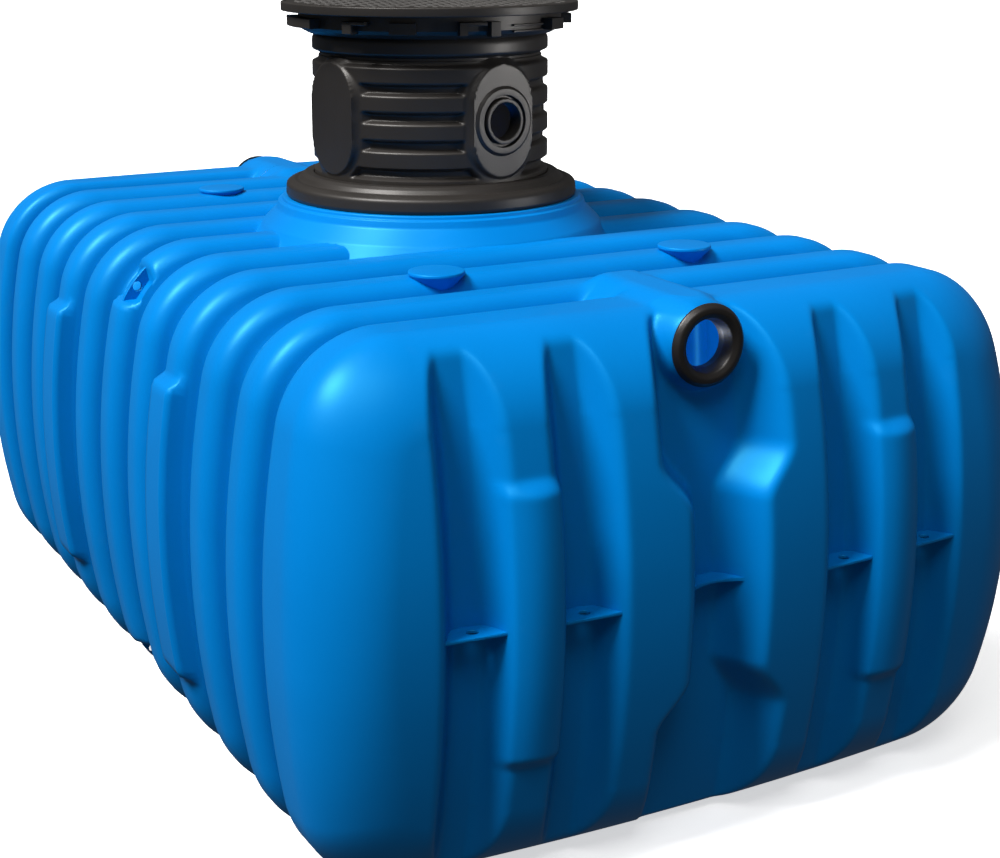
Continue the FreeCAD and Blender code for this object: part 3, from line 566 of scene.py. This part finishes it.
def carved_face(along, across, height):
    """Sinks grooves and the waisted recess into an end and raises its pads; along grows towards the face."""
    spare = CARVING_ROUND / 2
    uncut = along
    depth = np.zeros_like(along)
    for place in GROOVE_PLACES:
        groove = plateau(across - place, GROOVE_FLOOR_HALF, GROOVE_SLOPE)
        depth = np.maximum(depth, (GROOVE_DEPTH + spare) * groove)
    widening = smooth_step((np.abs(height) - RECESS_NECK_REACH) / (RECESS_WIDE_REACH - RECESS_NECK_REACH))
    half = RECESS_NECK_HALF + (RECESS_WIDE_HALF - RECESS_NECK_HALF) * widening
    recess = plateau(across, half - RECESS_SLOPE / 2, RECESS_SLOPE)
    depth = np.maximum(depth, (RECESS_DEPTH + spare) * recess)
    along = carved(along, depth)
    off_middle = np.abs(across) - FACE_PAD_MIDDLE
    share = plateau(off_middle, FACE_PAD_HALF_WIDTH, FACE_PAD_SIDE_SLOPE)
    share = share * plateau(height, FACE_PAD_HALF_HEIGHT, FACE_PAD_END_SLOPE)
    crowned = FACE_PAD_RISE - FACE_PAD_CROWN * (off_middle / FACE_PAD_HALF_WIDTH) ** 2
    return along + (np.maximum(uncut + crowned, along) - along) * share


def end_bow(across, height, along):
    """How far the cushion of an end falls back from a flat face, growing from the last valley to the face."""
    fall = height ** 2 / (2 * END_BOW_UP) + across ** 2 / (2 * END_BOW_ACROSS)
    return fall * np.clip((along - BARREL_HALF) / (FACE - BARREL_HALF), 0.0, 1.0)


def bowed(along, across, height):
    """Bows an end's skin and lifts the flat seat of the seal out of its recess, with a hood behind it."""
    seat = FACE - RECESS_DEPTH
    along = along - end_bow(across, height, along)
    lift = plateau(np.hypot(across, height + MIDDLE - PORT_LEVEL), PORT_BOSS, PORT_BOSS_SLOPE)
    lift = lift * smooth_step((along - END_CREST) / PORT_BOSS_RUN)
    return along + lift * np.maximum(seat - along, 0.0)


def eased(grid, passes, share=0.6):
    """Evens out a grid of values with its neighbours by a share in each pass, edges held."""
    for _ in range(passes):
        inner = (grid[:-2, 1:-1] + grid[2:, 1:-1] + grid[1:-1, :-2] + grid[1:-1, 2:]) / 4
        grid = grid.copy()
        grid[1:-1, 1:-1] = (1 - share) * grid[1:-1, 1:-1] + share * inner
    return grid


def relaxed(grid, passes, pull=1.9):
    """Spreads the inside of a grid evenly between its edges, even and odd places in turn."""
    rows, columns = np.indices(grid[1:-1, 1:-1].shape)
    grid = grid.copy()
    for _ in range(passes):
        for turn in (0, 1):
            chosen = (rows + columns) % 2 == turn
            near = (grid[:-2, 1:-1] + grid[2:, 1:-1] + grid[1:-1, :-2] + grid[1:-1, 2:]) / 4
            inside = grid[1:-1, 1:-1]
            inside[chosen] += pull * (near[chosen] - inside[chosen])
    return grid


def moulded_grid(points, normals, along, inset):
    """Across, place along and height of a skin with one row for each place along the tank."""
    shape = (len(along), len(points))
    across = np.broadcast_to(points[:, 0], shape)
    height = np.broadcast_to(points[:, 1], shape)
    up = np.broadcast_to(normals[:, 1], shape)
    place = np.broadcast_to(along[:, None], shape)
    depth = moulded_inset(np.broadcast_to(inset[:, None], shape), across, place, up, height)
    return across - depth * normals[:, 0], place, height - depth * normals[:, 1]


def barrel_skin():
    """Ribbed skin between the ends, open under the access neck."""
    half_rib = np.array(RIB_STEPS)
    rib = np.concatenate([[-RIB_PITCH / 2], -half_rib[:0:-1], half_rib])
    middles = (np.arange(RIB_COUNT) - (RIB_COUNT - 1) / 2) * RIB_PITCH
    along = np.append((middles[:, None] + rib).ravel(), BARREL_HALF)
    away = np.append(np.tile(np.abs(rib), RIB_COUNT), RIB_PITCH / 2)
    x, y, z = moulded_grid(*barrel_outline(*BARREL_STEPS), along, rib_inset(away))
    spots = np.stack([x, y, z + MIDDLE], axis=-1).reshape(-1, 3)
    faces = grid_faces(np.arange(x.size).reshape(x.shape), False, True)[:, ::-1]
    centre = spots[faces].mean(axis=1)
    hidden = (np.hypot(centre[:, 0], centre[:, 1]) < OPENING_RADIUS) & (centre[:, 2] > MIDDLE)
    return spots, faces[~hidden]


def face_edges(last):
    """Lower, upper, left and right edge of an end's face, as vertex numbers of the ring round it."""
    roof_steps, corner_steps, wall_steps = END_STEPS
    top = roof_steps + corner_steps
    side = wall_steps + corner_steps
    edge = np.append(last, last[0])
    lower = edge[top + side:2 * top + side + 1]
    upper = edge[:top + 1][::-1]
    left = edge[top:top + side + 1][::-1]
    right = edge[2 * top + side:]
    return lower, upper, left, right


def filled_face(outline, lower, upper, left, right):
    """Grid of (across, height) that spreads evenly between the four edges of an end's face."""
    u = np.linspace(0.0, 1.0, len(lower))[None, :, None]
    v = np.linspace(0.0, 1.0, len(left))[:, None, None]
    patch = (1 - v) * outline[lower][None] + v * outline[upper][None]
    patch = patch + (1 - u) * outline[left][:, None] + u * outline[right][:, None]
    patch = patch - (1 - v) * ((1 - u) * outline[lower[0]] + u * outline[lower[-1]])
    patch = patch - v * ((1 - u) * outline[upper[0]] + u * outline[upper[-1]])
    return [relaxed(patch[..., axis], RELAX_PASSES) for axis in (0, 1)]


def end_skin(sign):
    """Cushion-shaped end with grooves, recess and pads; sign is -1 for the front and 1 for the back."""
    ring_x, place, ring_z = moulded_grid(*barrel_outline(*END_STEPS), *end_rows())
    ring_along = bowed(carved_face(place, ring_x, ring_z), ring_x, ring_z)
    ring_index = np.arange(ring_x.size).reshape(ring_x.shape)
    edges = face_edges(ring_index[-1])
    face_x, face_z = filled_face(np.column_stack([ring_x.ravel(), ring_z.ravel()]), *edges)
    face_along = carved_face(np.full(face_x.shape, FACE), face_x, face_z)
    face_along = bowed(eased(face_along, EASE_PASSES), face_x, face_z)
    index = np.full(face_x.shape, -1)
    index[0], index[-1], index[:, 0], index[:, -1] = edges
    inner = index < 0
    index[inner] = ring_x.size + np.arange(inner.sum())
    x = np.concatenate([ring_x.ravel(), face_x[inner]])
    y = sign * np.concatenate([ring_along.ravel(), face_along[inner]])
    z = np.concatenate([ring_z.ravel(), face_z[inner]]) + MIDDLE
    spots = np.column_stack([x, y, z])
    faces = np.vstack([grid_faces(ring_index, False, True), grid_faces(index)])
    if sign > 0:
        faces = faces[:, ::-1]
    centre = spots[faces].mean(axis=1)
    depth = FACE - np.abs(centre[:, 1])
    hole = np.hypot(centre[:, 0], centre[:, 2] - PORT_LEVEL) < PORT_HOLE
    return spots, faces[~(hole & (depth > PORT_HOLE_FROM) & (depth < PORT_HOLE_TO))]


BARREL_NODES = ["tank_roof", "tank_floor", "left_wall", "right_wall", "left_wall_pads", "right_wall_pads",
                "upper_left_corner", "upper_right_corner", "lower_left_corner", "lower_right_corner",
                "roof_bridges", "floor_bridges"]
FRONT_NODES = ["front_rim", "front_end", "front_face_pads"]
BACK_NODES = ["back_rim", "back_end", "back_face_pads"]
piece("tank_barrel_skin", *barrel_skin(), BLUE, "blue_shell", replaced=BARREL_NODES, sharp=70)
piece("front_end_skin", *end_skin(-1), BLUE, "blue_shell", replaced=FRONT_NODES, sharp=80)
piece("back_end_skin", *end_skin(1), BLUE, "blue_shell", replaced=BACK_NODES, sharp=80)

# Raised neck with a stepped rim
NECK_TOP = COLLAR_LOW[2]
NECK_STEP = NECK_TOP - 0.010
NECK_FOOT = CREST - 0.090
NECK_BORE = 0.300
NECK_WALL = 0.440
neck_outline = rounded([
    (NECK_BORE, NECK_STEP, 0.002), (NECK_WALL - 0.022, NECK_STEP, 0.004), (NECK_WALL, NECK_FOOT, 0.0),
    (NECK_WALL + 0.105, NECK_FOOT, 0.0), (NECK_WALL + 0.046, CREST + 0.004, 0.040),
    (NECK_WALL + 0.006, CREST + 0.044, 0.020), (NECK_WALL, NECK_STEP - 0.002, 0.004),
    (NECK_WALL - 0.010, NECK_STEP, 0.003), (NECK_WALL - 0.012, NECK_TOP, 0.004),
    (NECK_BORE, NECK_TOP, 0.002)])
piece("neck_ring", *lathe(neck_outline, RING_POINTS), BLUE, "blue_shell", replaced=["access_neck"], sharp=60)

# Round bosses on the roof and the same under the floor
BOSS_ACROSS = 0.365
BOSS_ALONG = 0.760
BOSS_PLACES = [(x, y) for x in (-BOSS_ACROSS, BOSS_ACROSS) for y in (-BOSS_ALONG, BOSS_ALONG)]
BOSS_RISE = 0.014
BOSS_RADIUS = 0.070
BOSS_STEM = 0.036


def bosses(flip):
    """Flat-topped bosses on narrower stems; flip is 1 for the roof and -1 for the floor."""
    outline = rounded([(AXIS_GAP, BOSS_RISE, 0.0), (BOSS_RADIUS, BOSS_RISE, 0.005),
                       (BOSS_RADIUS + 0.001, BOSS_RISE - 0.008, 0.004), (BOSS_STEM, -0.034, 0.012),
                       (BOSS_STEM - 0.004, -0.075, 0.0)])
    parts = []
    for x, y in BOSS_PLACES:
        points, faces = disc(outline, BOSS_POINTS, (x, y, HALF_HEIGHT))
        points[:, 2] *= flip
        points[:, 2] += MIDDLE
        parts.append((points, faces[:, ::flip]))
    return joined(parts)


piece("roof_boss_skins", *bosses(1), BLUE, "blue_shell", replaced=["roof_bosses"])
piece("floor_foot_skins", *bosses(-1), BLUE, "blue_shell", replaced=["floor_feet"])

# Lifting eyes: upright webs in the corner notches of the middle rib, measured from the corner's middle
EYE_THICKNESS = 0.014
EYE_HOLE = 0.013
EYE_HOLE_REACH = 0.215
EYE_INSIDE = 0.196
EYE_OUTSIDE = 0.232
EYE_TURNS = np.radians(np.linspace(12.0, 64.0, 14))
EYE_POINTS = 72


def eye_spot(reach, turn):
    """Across and up from the tank's middle, at a reach and turn from the middle of a corner."""
    return CORNER_ACROSS + reach * math.cos(turn), CORNER_UP + reach * math.sin(turn)


def lifting_eyes(side):
    """Upper and lower web of the left (-1) or right (1) side, each with a hole."""
    outer = [eye_spot(EYE_OUTSIDE, turn) for turn in EYE_TURNS]
    inner = [eye_spot(EYE_INSIDE, turn) for turn in EYE_TURNS[::-1]]
    hole = np.array(eye_spot(EYE_HOLE_REACH, math.radians(NOTCH_LEAN)))
    outline = resampled(outer + inner, EYE_POINTS)
    flat_points, faces = plate_with_hole(outline, hole, EYE_HOLE, EYE_THICKNESS)
    parts = []
    for flip in (1, -1):
        height = MIDDLE + flip * flat_points[:, 1]
        points = np.column_stack([side * flat_points[:, 0], flat_points[:, 2], height])
        parts.append((points, faces[:, ::-1] if side * flip > 0 else faces))
    return joined(parts)


piece("left_eye_webs", *lifting_eyes(-1), BLUE, "blue_shell", replaced=["left_lifting_eyes"])
piece("right_eye_webs", *lifting_eyes(1), BLUE, "blue_shell", replaced=["right_lifting_eyes"])

# Tie plates across the grooves and the neck of the recess, with depths below the face
TIE_THICKNESS = 0.008
TIE_HOLE = 0.013
TIE_HOLE_DEPTH = 0.046
TIE_FRONT = 0.012
TIE_FRONT_HALF = 0.088
TIE_BACK = 0.086
TIE_BACK_HALF = 0.034
TIE_POINTS = 60
RECESS_TIE_HALF = 0.090
RECESS_TIE_FRONT = 0.048
RECESS_TIE_BEND = 0.030
RECESS_TIE_MIDDLE = 0.105
RECESS_TIE_BACK = 0.132
RECESS_TIE_STEPS = 13


def tie_plates(sign):
    """Drilled plates in the grooves and a plain one in the recess of the front (-1) or back (1) end."""
    parts = []
    for place in GROOVE_PLACES:
        corners = [(place - TIE_FRONT_HALF, TIE_FRONT), (place + TIE_FRONT_HALF, TIE_FRONT),
                   (place + TIE_BACK_HALF, TIE_BACK), (place - TIE_BACK_HALF, TIE_BACK)]
        outline = resampled(corners, TIE_POINTS)
        parts.append(plate_with_hole(outline, np.array([place, TIE_HOLE_DEPTH]), TIE_HOLE, TIE_THICKNESS))
    front = []
    for share in np.linspace(-1.0, 1.0, RECESS_TIE_STEPS):
        front.append((RECESS_TIE_HALF * share, RECESS_TIE_FRONT + RECESS_TIE_BEND * (1 - share * share)))
    back = [(RECESS_TIE_HALF, RECESS_TIE_BACK), (-RECESS_TIE_HALF, RECESS_TIE_BACK)]
    outline = resampled(front + back, TIE_POINTS)
    parts.append(plate_with_hole(outline, np.array([0.0, RECESS_TIE_MIDDLE]), AXIS_GAP, TIE_THICKNESS))
    points, faces = joined(parts)
    along = FACE - points[:, 1]
    along = along - end_bow(points[:, 0], points[:, 2], along)
    points = np.column_stack([points[:, 0], sign * along, MIDDLE + points[:, 2]])
    return points, faces[:, ::-1] if sign > 0 else faces


piece("front_tie_webs", *tie_plates(-1), BLUE, "blue_shell", replaced=["front_tie_plates"])
piece("back_tie_webs", *tie_plates(1), BLUE, "blue_shell", replaced=["back_tie_plates"])

# Pipe seals
SEAL_BORE = 0.055
RISER_SEAL_BORE = SEAL_BORE - 0.004
SEAL_BODY = 0.079
SEAL_SLEEVE = 0.036
SEAL_FLANGE = 0.097


def pipe_seal(mount, outline):
    """Ring seal on a port of the record; the outline is (radius, distance outwards from its seat)."""
    axis = np.array(MOUNTS[mount]["axis"])
    half_length = MOUNTS[mount]["dims"]["length_mm"] / (2 * MM_PER_METRE)
    seat = np.array(MOUNTS[mount]["pos_m"]) + axis * (SEAL_SLEEVE - half_length)
    points, faces = lathe(outline, SEAL_POINTS)
    return turned_to(points, axis, seat), faces


tank_seal = rounded([
    (SEAL_BORE, -SEAL_SLEEVE, 0.002), (SEAL_BORE, -0.016, 0.010), (0.064, 0.009, 0.010),
    (0.076, 0.016, 0.010), (0.088, 0.015, 0.009), (SEAL_FLANGE, 0.004, 0.008),
    (SEAL_FLANGE, -0.001, 0.001), (SEAL_BODY, -0.002, 0.001), (SEAL_BODY, -SEAL_SLEEVE, 0.002)])
riser_seal = rounded([
    (RISER_SEAL_BORE, -SEAL_SLEEVE, 0.002), (RISER_SEAL_BORE, 0.010, 0.003), (0.062, 0.010, 0.003),
    (0.064, -0.006, 0.001), (0.070, -0.006, 0.001), (0.071, 0.007, 0.002), (0.088, 0.007, 0.003),
    (SEAL_FLANGE, 0.0, 0.001), (SEAL_BODY, -0.002, 0.001), (SEAL_BODY, -SEAL_SLEEVE, 0.002)])
piece("front_port_seal", *pipe_seal("inlet_port", tank_seal), RUBBER, "black_rubber", replaced=["pipe_seals"],
      sharp=60)
piece("back_port_seal", *pipe_seal("overflow_port", tank_seal), RUBBER, "black_rubber", sharp=60)
piece("riser_port_seal", *pipe_seal("riser_port", riser_seal), BLACK, "black_rubber", sharp=50)

# Riser collar with rounded steps
COLLAR_RADIUS = COLLAR_HIGH[0]
COLLAR_FOOT = COLLAR_LOW[2]
COLLAR_TOP = COLLAR_HIGH[2]
COLLAR_STEP = SHAFT_LOW[2]
SHAFT_RADIUS = 0.335
SHAFT_BORE = 0.314
SOCKET_RADIUS = SHAFT_RADIUS + 0.002
collar_outline = rounded([
    (SHAFT_BORE, COLLAR_FOOT, 0.002), (COLLAR_RADIUS - 0.004, COLLAR_FOOT, 0.006),
    (COLLAR_RADIUS, COLLAR_FOOT + 0.010, 0.008), (COLLAR_RADIUS - 0.002, COLLAR_STEP - 0.008, 0.016),
    (COLLAR_RADIUS - 0.024, COLLAR_STEP + 0.001, 0.014), (SOCKET_RADIUS + 0.043, COLLAR_STEP - 0.001, 0.008),
    (SOCKET_RADIUS + 0.034, COLLAR_STEP + 0.012, 0.010), (SOCKET_RADIUS + 0.023, COLLAR_TOP, 0.008),
    (SOCKET_RADIUS, COLLAR_TOP, 0.002), (SOCKET_RADIUS, COLLAR_STEP, 0.001),
    (SHAFT_BORE, COLLAR_STEP, 0.001)], steps=6)
piece("collar_ring", *lathe(collar_outline, WIDE_RING_POINTS), BLACK, "black_plastic",
      replaced=["riser_collar"], sharp=60)

# Beaded shaft with flat pads on four sides, with heights above its foot
RISER_PORT = MOUNTS["riser_port"]
SHAFT_HEIGHT = SHAFT_HIGH[2] - SHAFT_LOW[2]
SHAFT_TURN = math.atan2(RISER_PORT["axis"][0], -RISER_PORT["axis"][1])
SHAFT_COLUMNS = 480
SHAFT_ROWS = 126
BORE_ROWS = 8
PAD_REACH = 0.338
PAD_HALF_WIDTH = 0.100
PAD_HALF_HEIGHT = 0.154
PAD_LEVEL = RISER_PORT["pos_m"][2] - SHAFT_LOW[2]
PAD_FLANK = 1.10
PAD_EDGE = 0.003
PAD_EDGE_RUN = 0.004
PAD_BLEND = 0.005
PAD_CLEARANCE = 0.020
PAD_CLEARANCE_RUN = 0.014
FIRST_DIP = 0.048
DIP_PITCH = 0.076
DIP_COUNT = 5
DIP_LEVELS = [FIRST_DIP + DIP_PITCH * step for step in range(DIP_COUNT)]
DIP_DEPTH = 0.018
DIP_HALF = 0.007
DIP_SLOPE = 0.012
TOP_BEAD_ROUND = 0.012


def shaft_radius(turn, height):
    """Outer radius with dips between the beads and a pad on each side, at turns from the port's axis."""
    near = (turn + math.pi / 4) % (math.pi / 2) - math.pi / 4
    lateral = PAD_REACH * np.tan(near)
    straight = np.maximum(np.abs(height - PAD_LEVEL) - (PAD_HALF_HEIGHT - PAD_HALF_WIDTH), 0.0)
    outside = np.hypot(lateral, straight) - PAD_HALF_WIDTH
    clear = smooth_step((outside - PAD_CLEARANCE) / PAD_CLEARANCE_RUN)
    valley = np.zeros_like(turn)
    for level in DIP_LEVELS:
        dip = plateau(height - level, DIP_HALF, DIP_SLOPE)
        valley = np.maximum(valley, dip * (clear if level < DIP_LEVELS[-1] else 1.0))
    top_bead = (height - DIP_LEVELS[-1]) / (SHAFT_HEIGHT - DIP_LEVELS[-1])
    top_round = np.where(top_bead > 0.0, (2 * top_bead - 1) ** 4, 0.0)
    beaded = SHAFT_RADIUS - DIP_DEPTH * valley - TOP_BEAD_ROUND * top_round
    pad = PAD_REACH / np.cos(near) - PAD_FLANK * np.maximum(outside, 0.0)
    radius = soft_max(beaded, pad - PAD_EDGE * smooth_step(outside / PAD_EDGE_RUN), PAD_BLEND)
    radius[0] = SHAFT_RADIUS
    radius[-1] = SHAFT_RADIUS
    return radius


def shaft():
    """Outside and bore of the shaft, with a hole for the port's seal."""
    turns = np.arange(SHAFT_COLUMNS) * 2 * math.pi / SHAFT_COLUMNS
    turn, height = np.meshgrid(turns, np.linspace(0.0, SHAFT_HEIGHT, SHAFT_ROWS))
    bore_turn, bore_height = np.meshgrid(turns, np.linspace(SHAFT_HEIGHT, 0.0, BORE_ROWS))
    radius = np.vstack([shaft_radius(turn, height), np.full(bore_turn.shape, SHAFT_BORE)])
    turn = np.vstack([turn, bore_turn]) + SHAFT_TURN
    height = np.vstack([height, bore_height]) + SHAFT_LOW[2]
    points = np.stack([radius * np.sin(turn), -radius * np.cos(turn), height], axis=-1).reshape(-1, 3)
    faces = grid_faces(np.arange(turn.size).reshape(turn.shape), True, True)
    axis = np.array(RISER_PORT["axis"])
    centre = points[faces].mean(axis=1) - np.array([0.0, 0.0, RISER_PORT["pos_m"][2]])
    outward = centre @ axis
    off_axis = np.linalg.norm(centre - outward[:, None] * axis, axis=1)
    return points, faces[~((off_axis < PORT_HOLE) & (outward > 0))]


piece("shaft_skin", *shaft(), BLACK, "black_plastic", replaced=["riser_shaft"], sharp=50)

# Frame under the lid
FRAME_RADIUS = FRAME_HIGH[0]
FRAME_FOOT = FRAME_LOW[2]
FRAME_TOP = FRAME_HIGH[2]
FRAME_INSIDE = FRAME_RADIUS - 0.012
frame_outline = rounded([
    (SHAFT_BORE, FRAME_FOOT, 0.001), (SHAFT_BORE + 0.031, FRAME_FOOT, 0.004),
    (FRAME_RADIUS - 0.008, FRAME_FOOT + 0.010, 0.004), (FRAME_RADIUS, FRAME_FOOT + 0.020, 0.003),
    (FRAME_RADIUS, FRAME_TOP, 0.001), (FRAME_INSIDE, FRAME_TOP, 0.001),
    (FRAME_INSIDE, FRAME_FOOT + 0.022, 0.003), (SHAFT_BORE, FRAME_FOOT + 0.012, 0.002)])
piece("frame_ring", *lathe(frame_outline, RING_POINTS), BLACK, "black_plastic",
      replaced=["lid_frame"], sharp=45)

# Brackets round the frame: start and stop in degrees from the front, radii, and levels above the frame's foot
BRACKETS = [
    (-114, -80, (0.366, 0.404), (0.020, 0.047)),
    (-62, -58, (0.366, 0.402), (0.012, 0.046)),
    (-62, -52, (0.368, 0.402), (0.036, 0.046)),
    (-43, -32, (0.368, 0.382), (0.012, 0.044)),
    (-15, -12, (0.366, 0.404), (0.010, 0.046)),
    (-15, -4, (0.368, 0.400), (0.036, 0.046)),
    (-2, 2, (0.366, 0.396), (0.006, 0.046)),
    (10, 28, (0.368, 0.380), (0.014, 0.020)),
    (10, 28, (0.368, 0.380), (0.030, 0.036)),
    (29, 39, (0.366, 0.404), (0.016, 0.047)),
]
BRACKET_BEVEL = 0.0015


def frame_brackets():
    """The brackets seen at the front, and the same again at the back."""
    parts = []
    for start, stop, radii, levels in BRACKETS:
        raised = [FRAME_FOOT + level for level in levels]
        for half_turn in (0, 180):
            first = math.radians(start + half_turn)
            last = math.radians(stop + half_turn)
            parts.append(sector_block(first, last, radii, raised, BRACKET_BEVEL))
    return joined(parts)


piece("frame_brackets", *frame_brackets(), BLACK, "black_plastic")

# Lid: plate with a rim and raised tread
TREAD_RISE = 0.003
TREAD_SINK = 0.002
TREAD_BEVEL = 0.002
TREAD_PITCH = 0.036
TREAD_LENGTH = 0.026
TREAD_WIDTH = 0.009
TREAD_MARGIN = 0.034
LID_RADIUS = LID_HIGH[0]
LID_RIM = LID_HIGH[2]
LID_TOP = LID_RIM - TREAD_RISE
LID_EDGE = LID_LOW[2] + 0.008
LID_INSIDE = LID_RADIUS - 0.009
lid_outline = rounded([
    (AXIS_GAP, LID_TOP, 0.0), (LID_RADIUS - 0.012, LID_TOP, 0.002), (LID_RADIUS - 0.010, LID_RIM, 0.002),
    (LID_RADIUS, LID_RIM - 0.002, 0.004), (LID_RADIUS, LID_EDGE, 0.003), (LID_INSIDE, LID_EDGE, 0.002),
    (LID_INSIDE, FRAME_TOP, 0.003), (AXIS_GAP, FRAME_TOP, 0.0)])
piece("lid_plate", *disc(lid_outline, WIDE_RING_POINTS), BLACK, "black_plastic",
      body="lid", replaced=["lid"], sharp=45)


def tread():
    """Short raised bars that lie crosswise to their neighbours."""
    parts = []
    reach = int(LID_RADIUS / TREAD_PITCH) + 1
    for row in range(-reach, reach + 1):
        for column in range(-reach, reach + 1):
            x = column * TREAD_PITCH
            y = row * TREAD_PITCH
            if math.hypot(x, y) > LID_RADIUS - TREAD_MARGIN:
                continue
            long_x = (row + column) % 2 == 0
            half_x = (TREAD_LENGTH if long_x else TREAD_WIDTH) / 2
            half_y = (TREAD_WIDTH if long_x else TREAD_LENGTH) / 2
            low = (x - half_x, y - half_y, LID_TOP - TREAD_SINK)
            high = (x + half_x, y + half_y, LID_RIM)
            parts.append(block(low, high, TREAD_BEVEL))
    return joined(parts)


piece("lid_tread", *tread(), WORN_BLACK, "black_plastic", body="lid")

# White floor
FLOOR_REACH = 160.0
FLOOR_GREY = 0.86
FLOOR_ROUGHNESS = 0.9
FLOOR_GLOW = 0.60


def paper():
    """White paper that glows, so that the ground stays white in the picture."""
    material = bpy.data.materials.new("floor_paper")
    material.use_nodes = True
    inputs = material.node_tree.nodes["Principled BSDF"].inputs
    inputs["Base Color"].default_value = (FLOOR_GREY, FLOOR_GREY, FLOOR_GREY, 1.0)
    inputs["Roughness"].default_value = FLOOR_ROUGHNESS
    inputs["Emission Color"].default_value = (1.0, 1.0, 1.0, 1.0)
    inputs["Emission Strength"].default_value = FLOOR_GLOW
    return material


floor_mesh = bpy.data.meshes.new("floor")
floor_corners = [(x * FLOOR_REACH, y * FLOOR_REACH, 0.0) for x, y in ((-1, -1), (1, -1), (1, 1), (-1, 1))]
floor_mesh.from_pydata(floor_corners, [], [(0, 1, 2, 3)])
floor_mesh.materials.append(paper())
floor = bpy.data.objects.new("floor", floor_mesh)
bpy.context.scene.collection.objects.link(floor)
floor.visible_diffuse = False
floor.visible_glossy = False

# Dome of light
DOME_TOWARDS = (-0.30, -0.62, 0.73)
DOME_DARKEST = -0.5
DOME_DIM = 0.07
DOME_BRIGHT = 0.15


def studio_dome():
    """Soft dome of light, brightest in front, above and to the left."""
    world = bpy.data.worlds.new("studio")
    world.use_nodes = True
    nodes = world.node_tree.nodes
    links = world.node_tree.links
    place = nodes.new("ShaderNodeTexCoord")
    lean = nodes.new("ShaderNodeVectorMath")
    lean.operation = "DOT_PRODUCT"
    lean.inputs[1].default_value = DOME_TOWARDS
    links.new(place.outputs["Generated"], lean.inputs[0])
    fade = nodes.new("ShaderNodeMapRange")
    fade.interpolation_type = "SMOOTHSTEP"
    fade.inputs["From Min"].default_value = DOME_DARKEST
    fade.inputs["From Max"].default_value = 1.0
    fade.inputs["To Min"].default_value = DOME_DIM
    fade.inputs["To Max"].default_value = DOME_BRIGHT
    links.new(lean.outputs["Value"], fade.inputs["Value"])
    nodes["Background"].inputs["Color"].default_value = (1.0, 1.0, 1.0, 1.0)
    links.new(fade.outputs["Result"], nodes["Background"].inputs["Strength"])
    return world


bpy.context.scene.world = studio_dome()

# Lights: sun from the left, fill from the front, glow inside the tank and a spot on the riser's port pad
TANK_FOOT = (0.0, 0.0, 0.0)
KEY_PLACE = (-7.0, -0.2, 9.8)
FILL_PLACE = (-2.5, -4.5, 8.5)
GLOW_PLACE = (-0.60, -0.60, 0.35)
SPOT_PLACE = (2.92, -2.88, 1.65)
SPOT_TARGET = (0.0, 0.0, 1.76)


def light(name, kind, energy, place, target=None):
    """Light at a place, turned towards a target where it has one."""
    data = bpy.data.lights.new(name, kind)
    data.energy = energy
    lamp = bpy.data.objects.new(name, data)
    lamp.location = place
    if target is not None:
        aim = np.array(target) - np.array(lamp.location)
        flat = math.hypot(aim[0], aim[1])
        lamp.rotation_euler = (math.atan2(flat, -aim[2]), 0.0, math.atan2(aim[1], aim[0]) - math.pi / 2)
    bpy.context.scene.collection.objects.link(lamp)
    return data


key = light("key", "SUN", energy=5.7, place=KEY_PLACE, target=TANK_FOOT)
key.angle = math.radians(22)
front_fill = light("front_fill", "SUN", energy=0.90, place=FILL_PLACE, target=TANK_FOOT)
front_fill.angle = math.radians(25)
inside_glow = light("inside_glow", "POINT", energy=45.0, place=GLOW_PLACE)
inside_glow.shadow_soft_size = 0.30
riser_light = light("riser_light", "SPOT", energy=640.0, place=SPOT_PLACE, target=SPOT_TARGET)
riser_light.shadow_soft_size = 0.50
riser_light.spot_size = math.radians(13)
riser_light.spot_blend = 0.8

# Camera, fitted to the photo
IMAGE_WIDTH = 1000
FOCAL_PIXELS = 1801.5
AXIS_ABOVE_MIDDLE = 120
CAMERA_PLACE = (-2.2968, -4.6299, 2.1589)
CAMERA_YAW = math.radians(28.588)
CAMERA_PITCH = math.radians(12.577)
CAMERA_REACH = 200.0
SENSOR_WIDTH = 36.0
camera_data = bpy.data.cameras.new("camera")
camera_data.sensor_width = SENSOR_WIDTH
camera_data.lens = SENSOR_WIDTH * FOCAL_PIXELS / IMAGE_WIDTH
camera_data.shift_y = -AXIS_ABOVE_MIDDLE / IMAGE_WIDTH
camera_data.clip_end = CAMERA_REACH
camera = bpy.data.objects.new("camera", camera_data)
camera.location = CAMERA_PLACE
camera.rotation_euler = (math.pi / 2 - CAMERA_PITCH, 0.0, -CAMERA_YAW)
bpy.context.scene.collection.objects.link(camera)
bpy.context.scene.camera = camera
bpy.context.scene.view_settings.view_transform = "Standard"
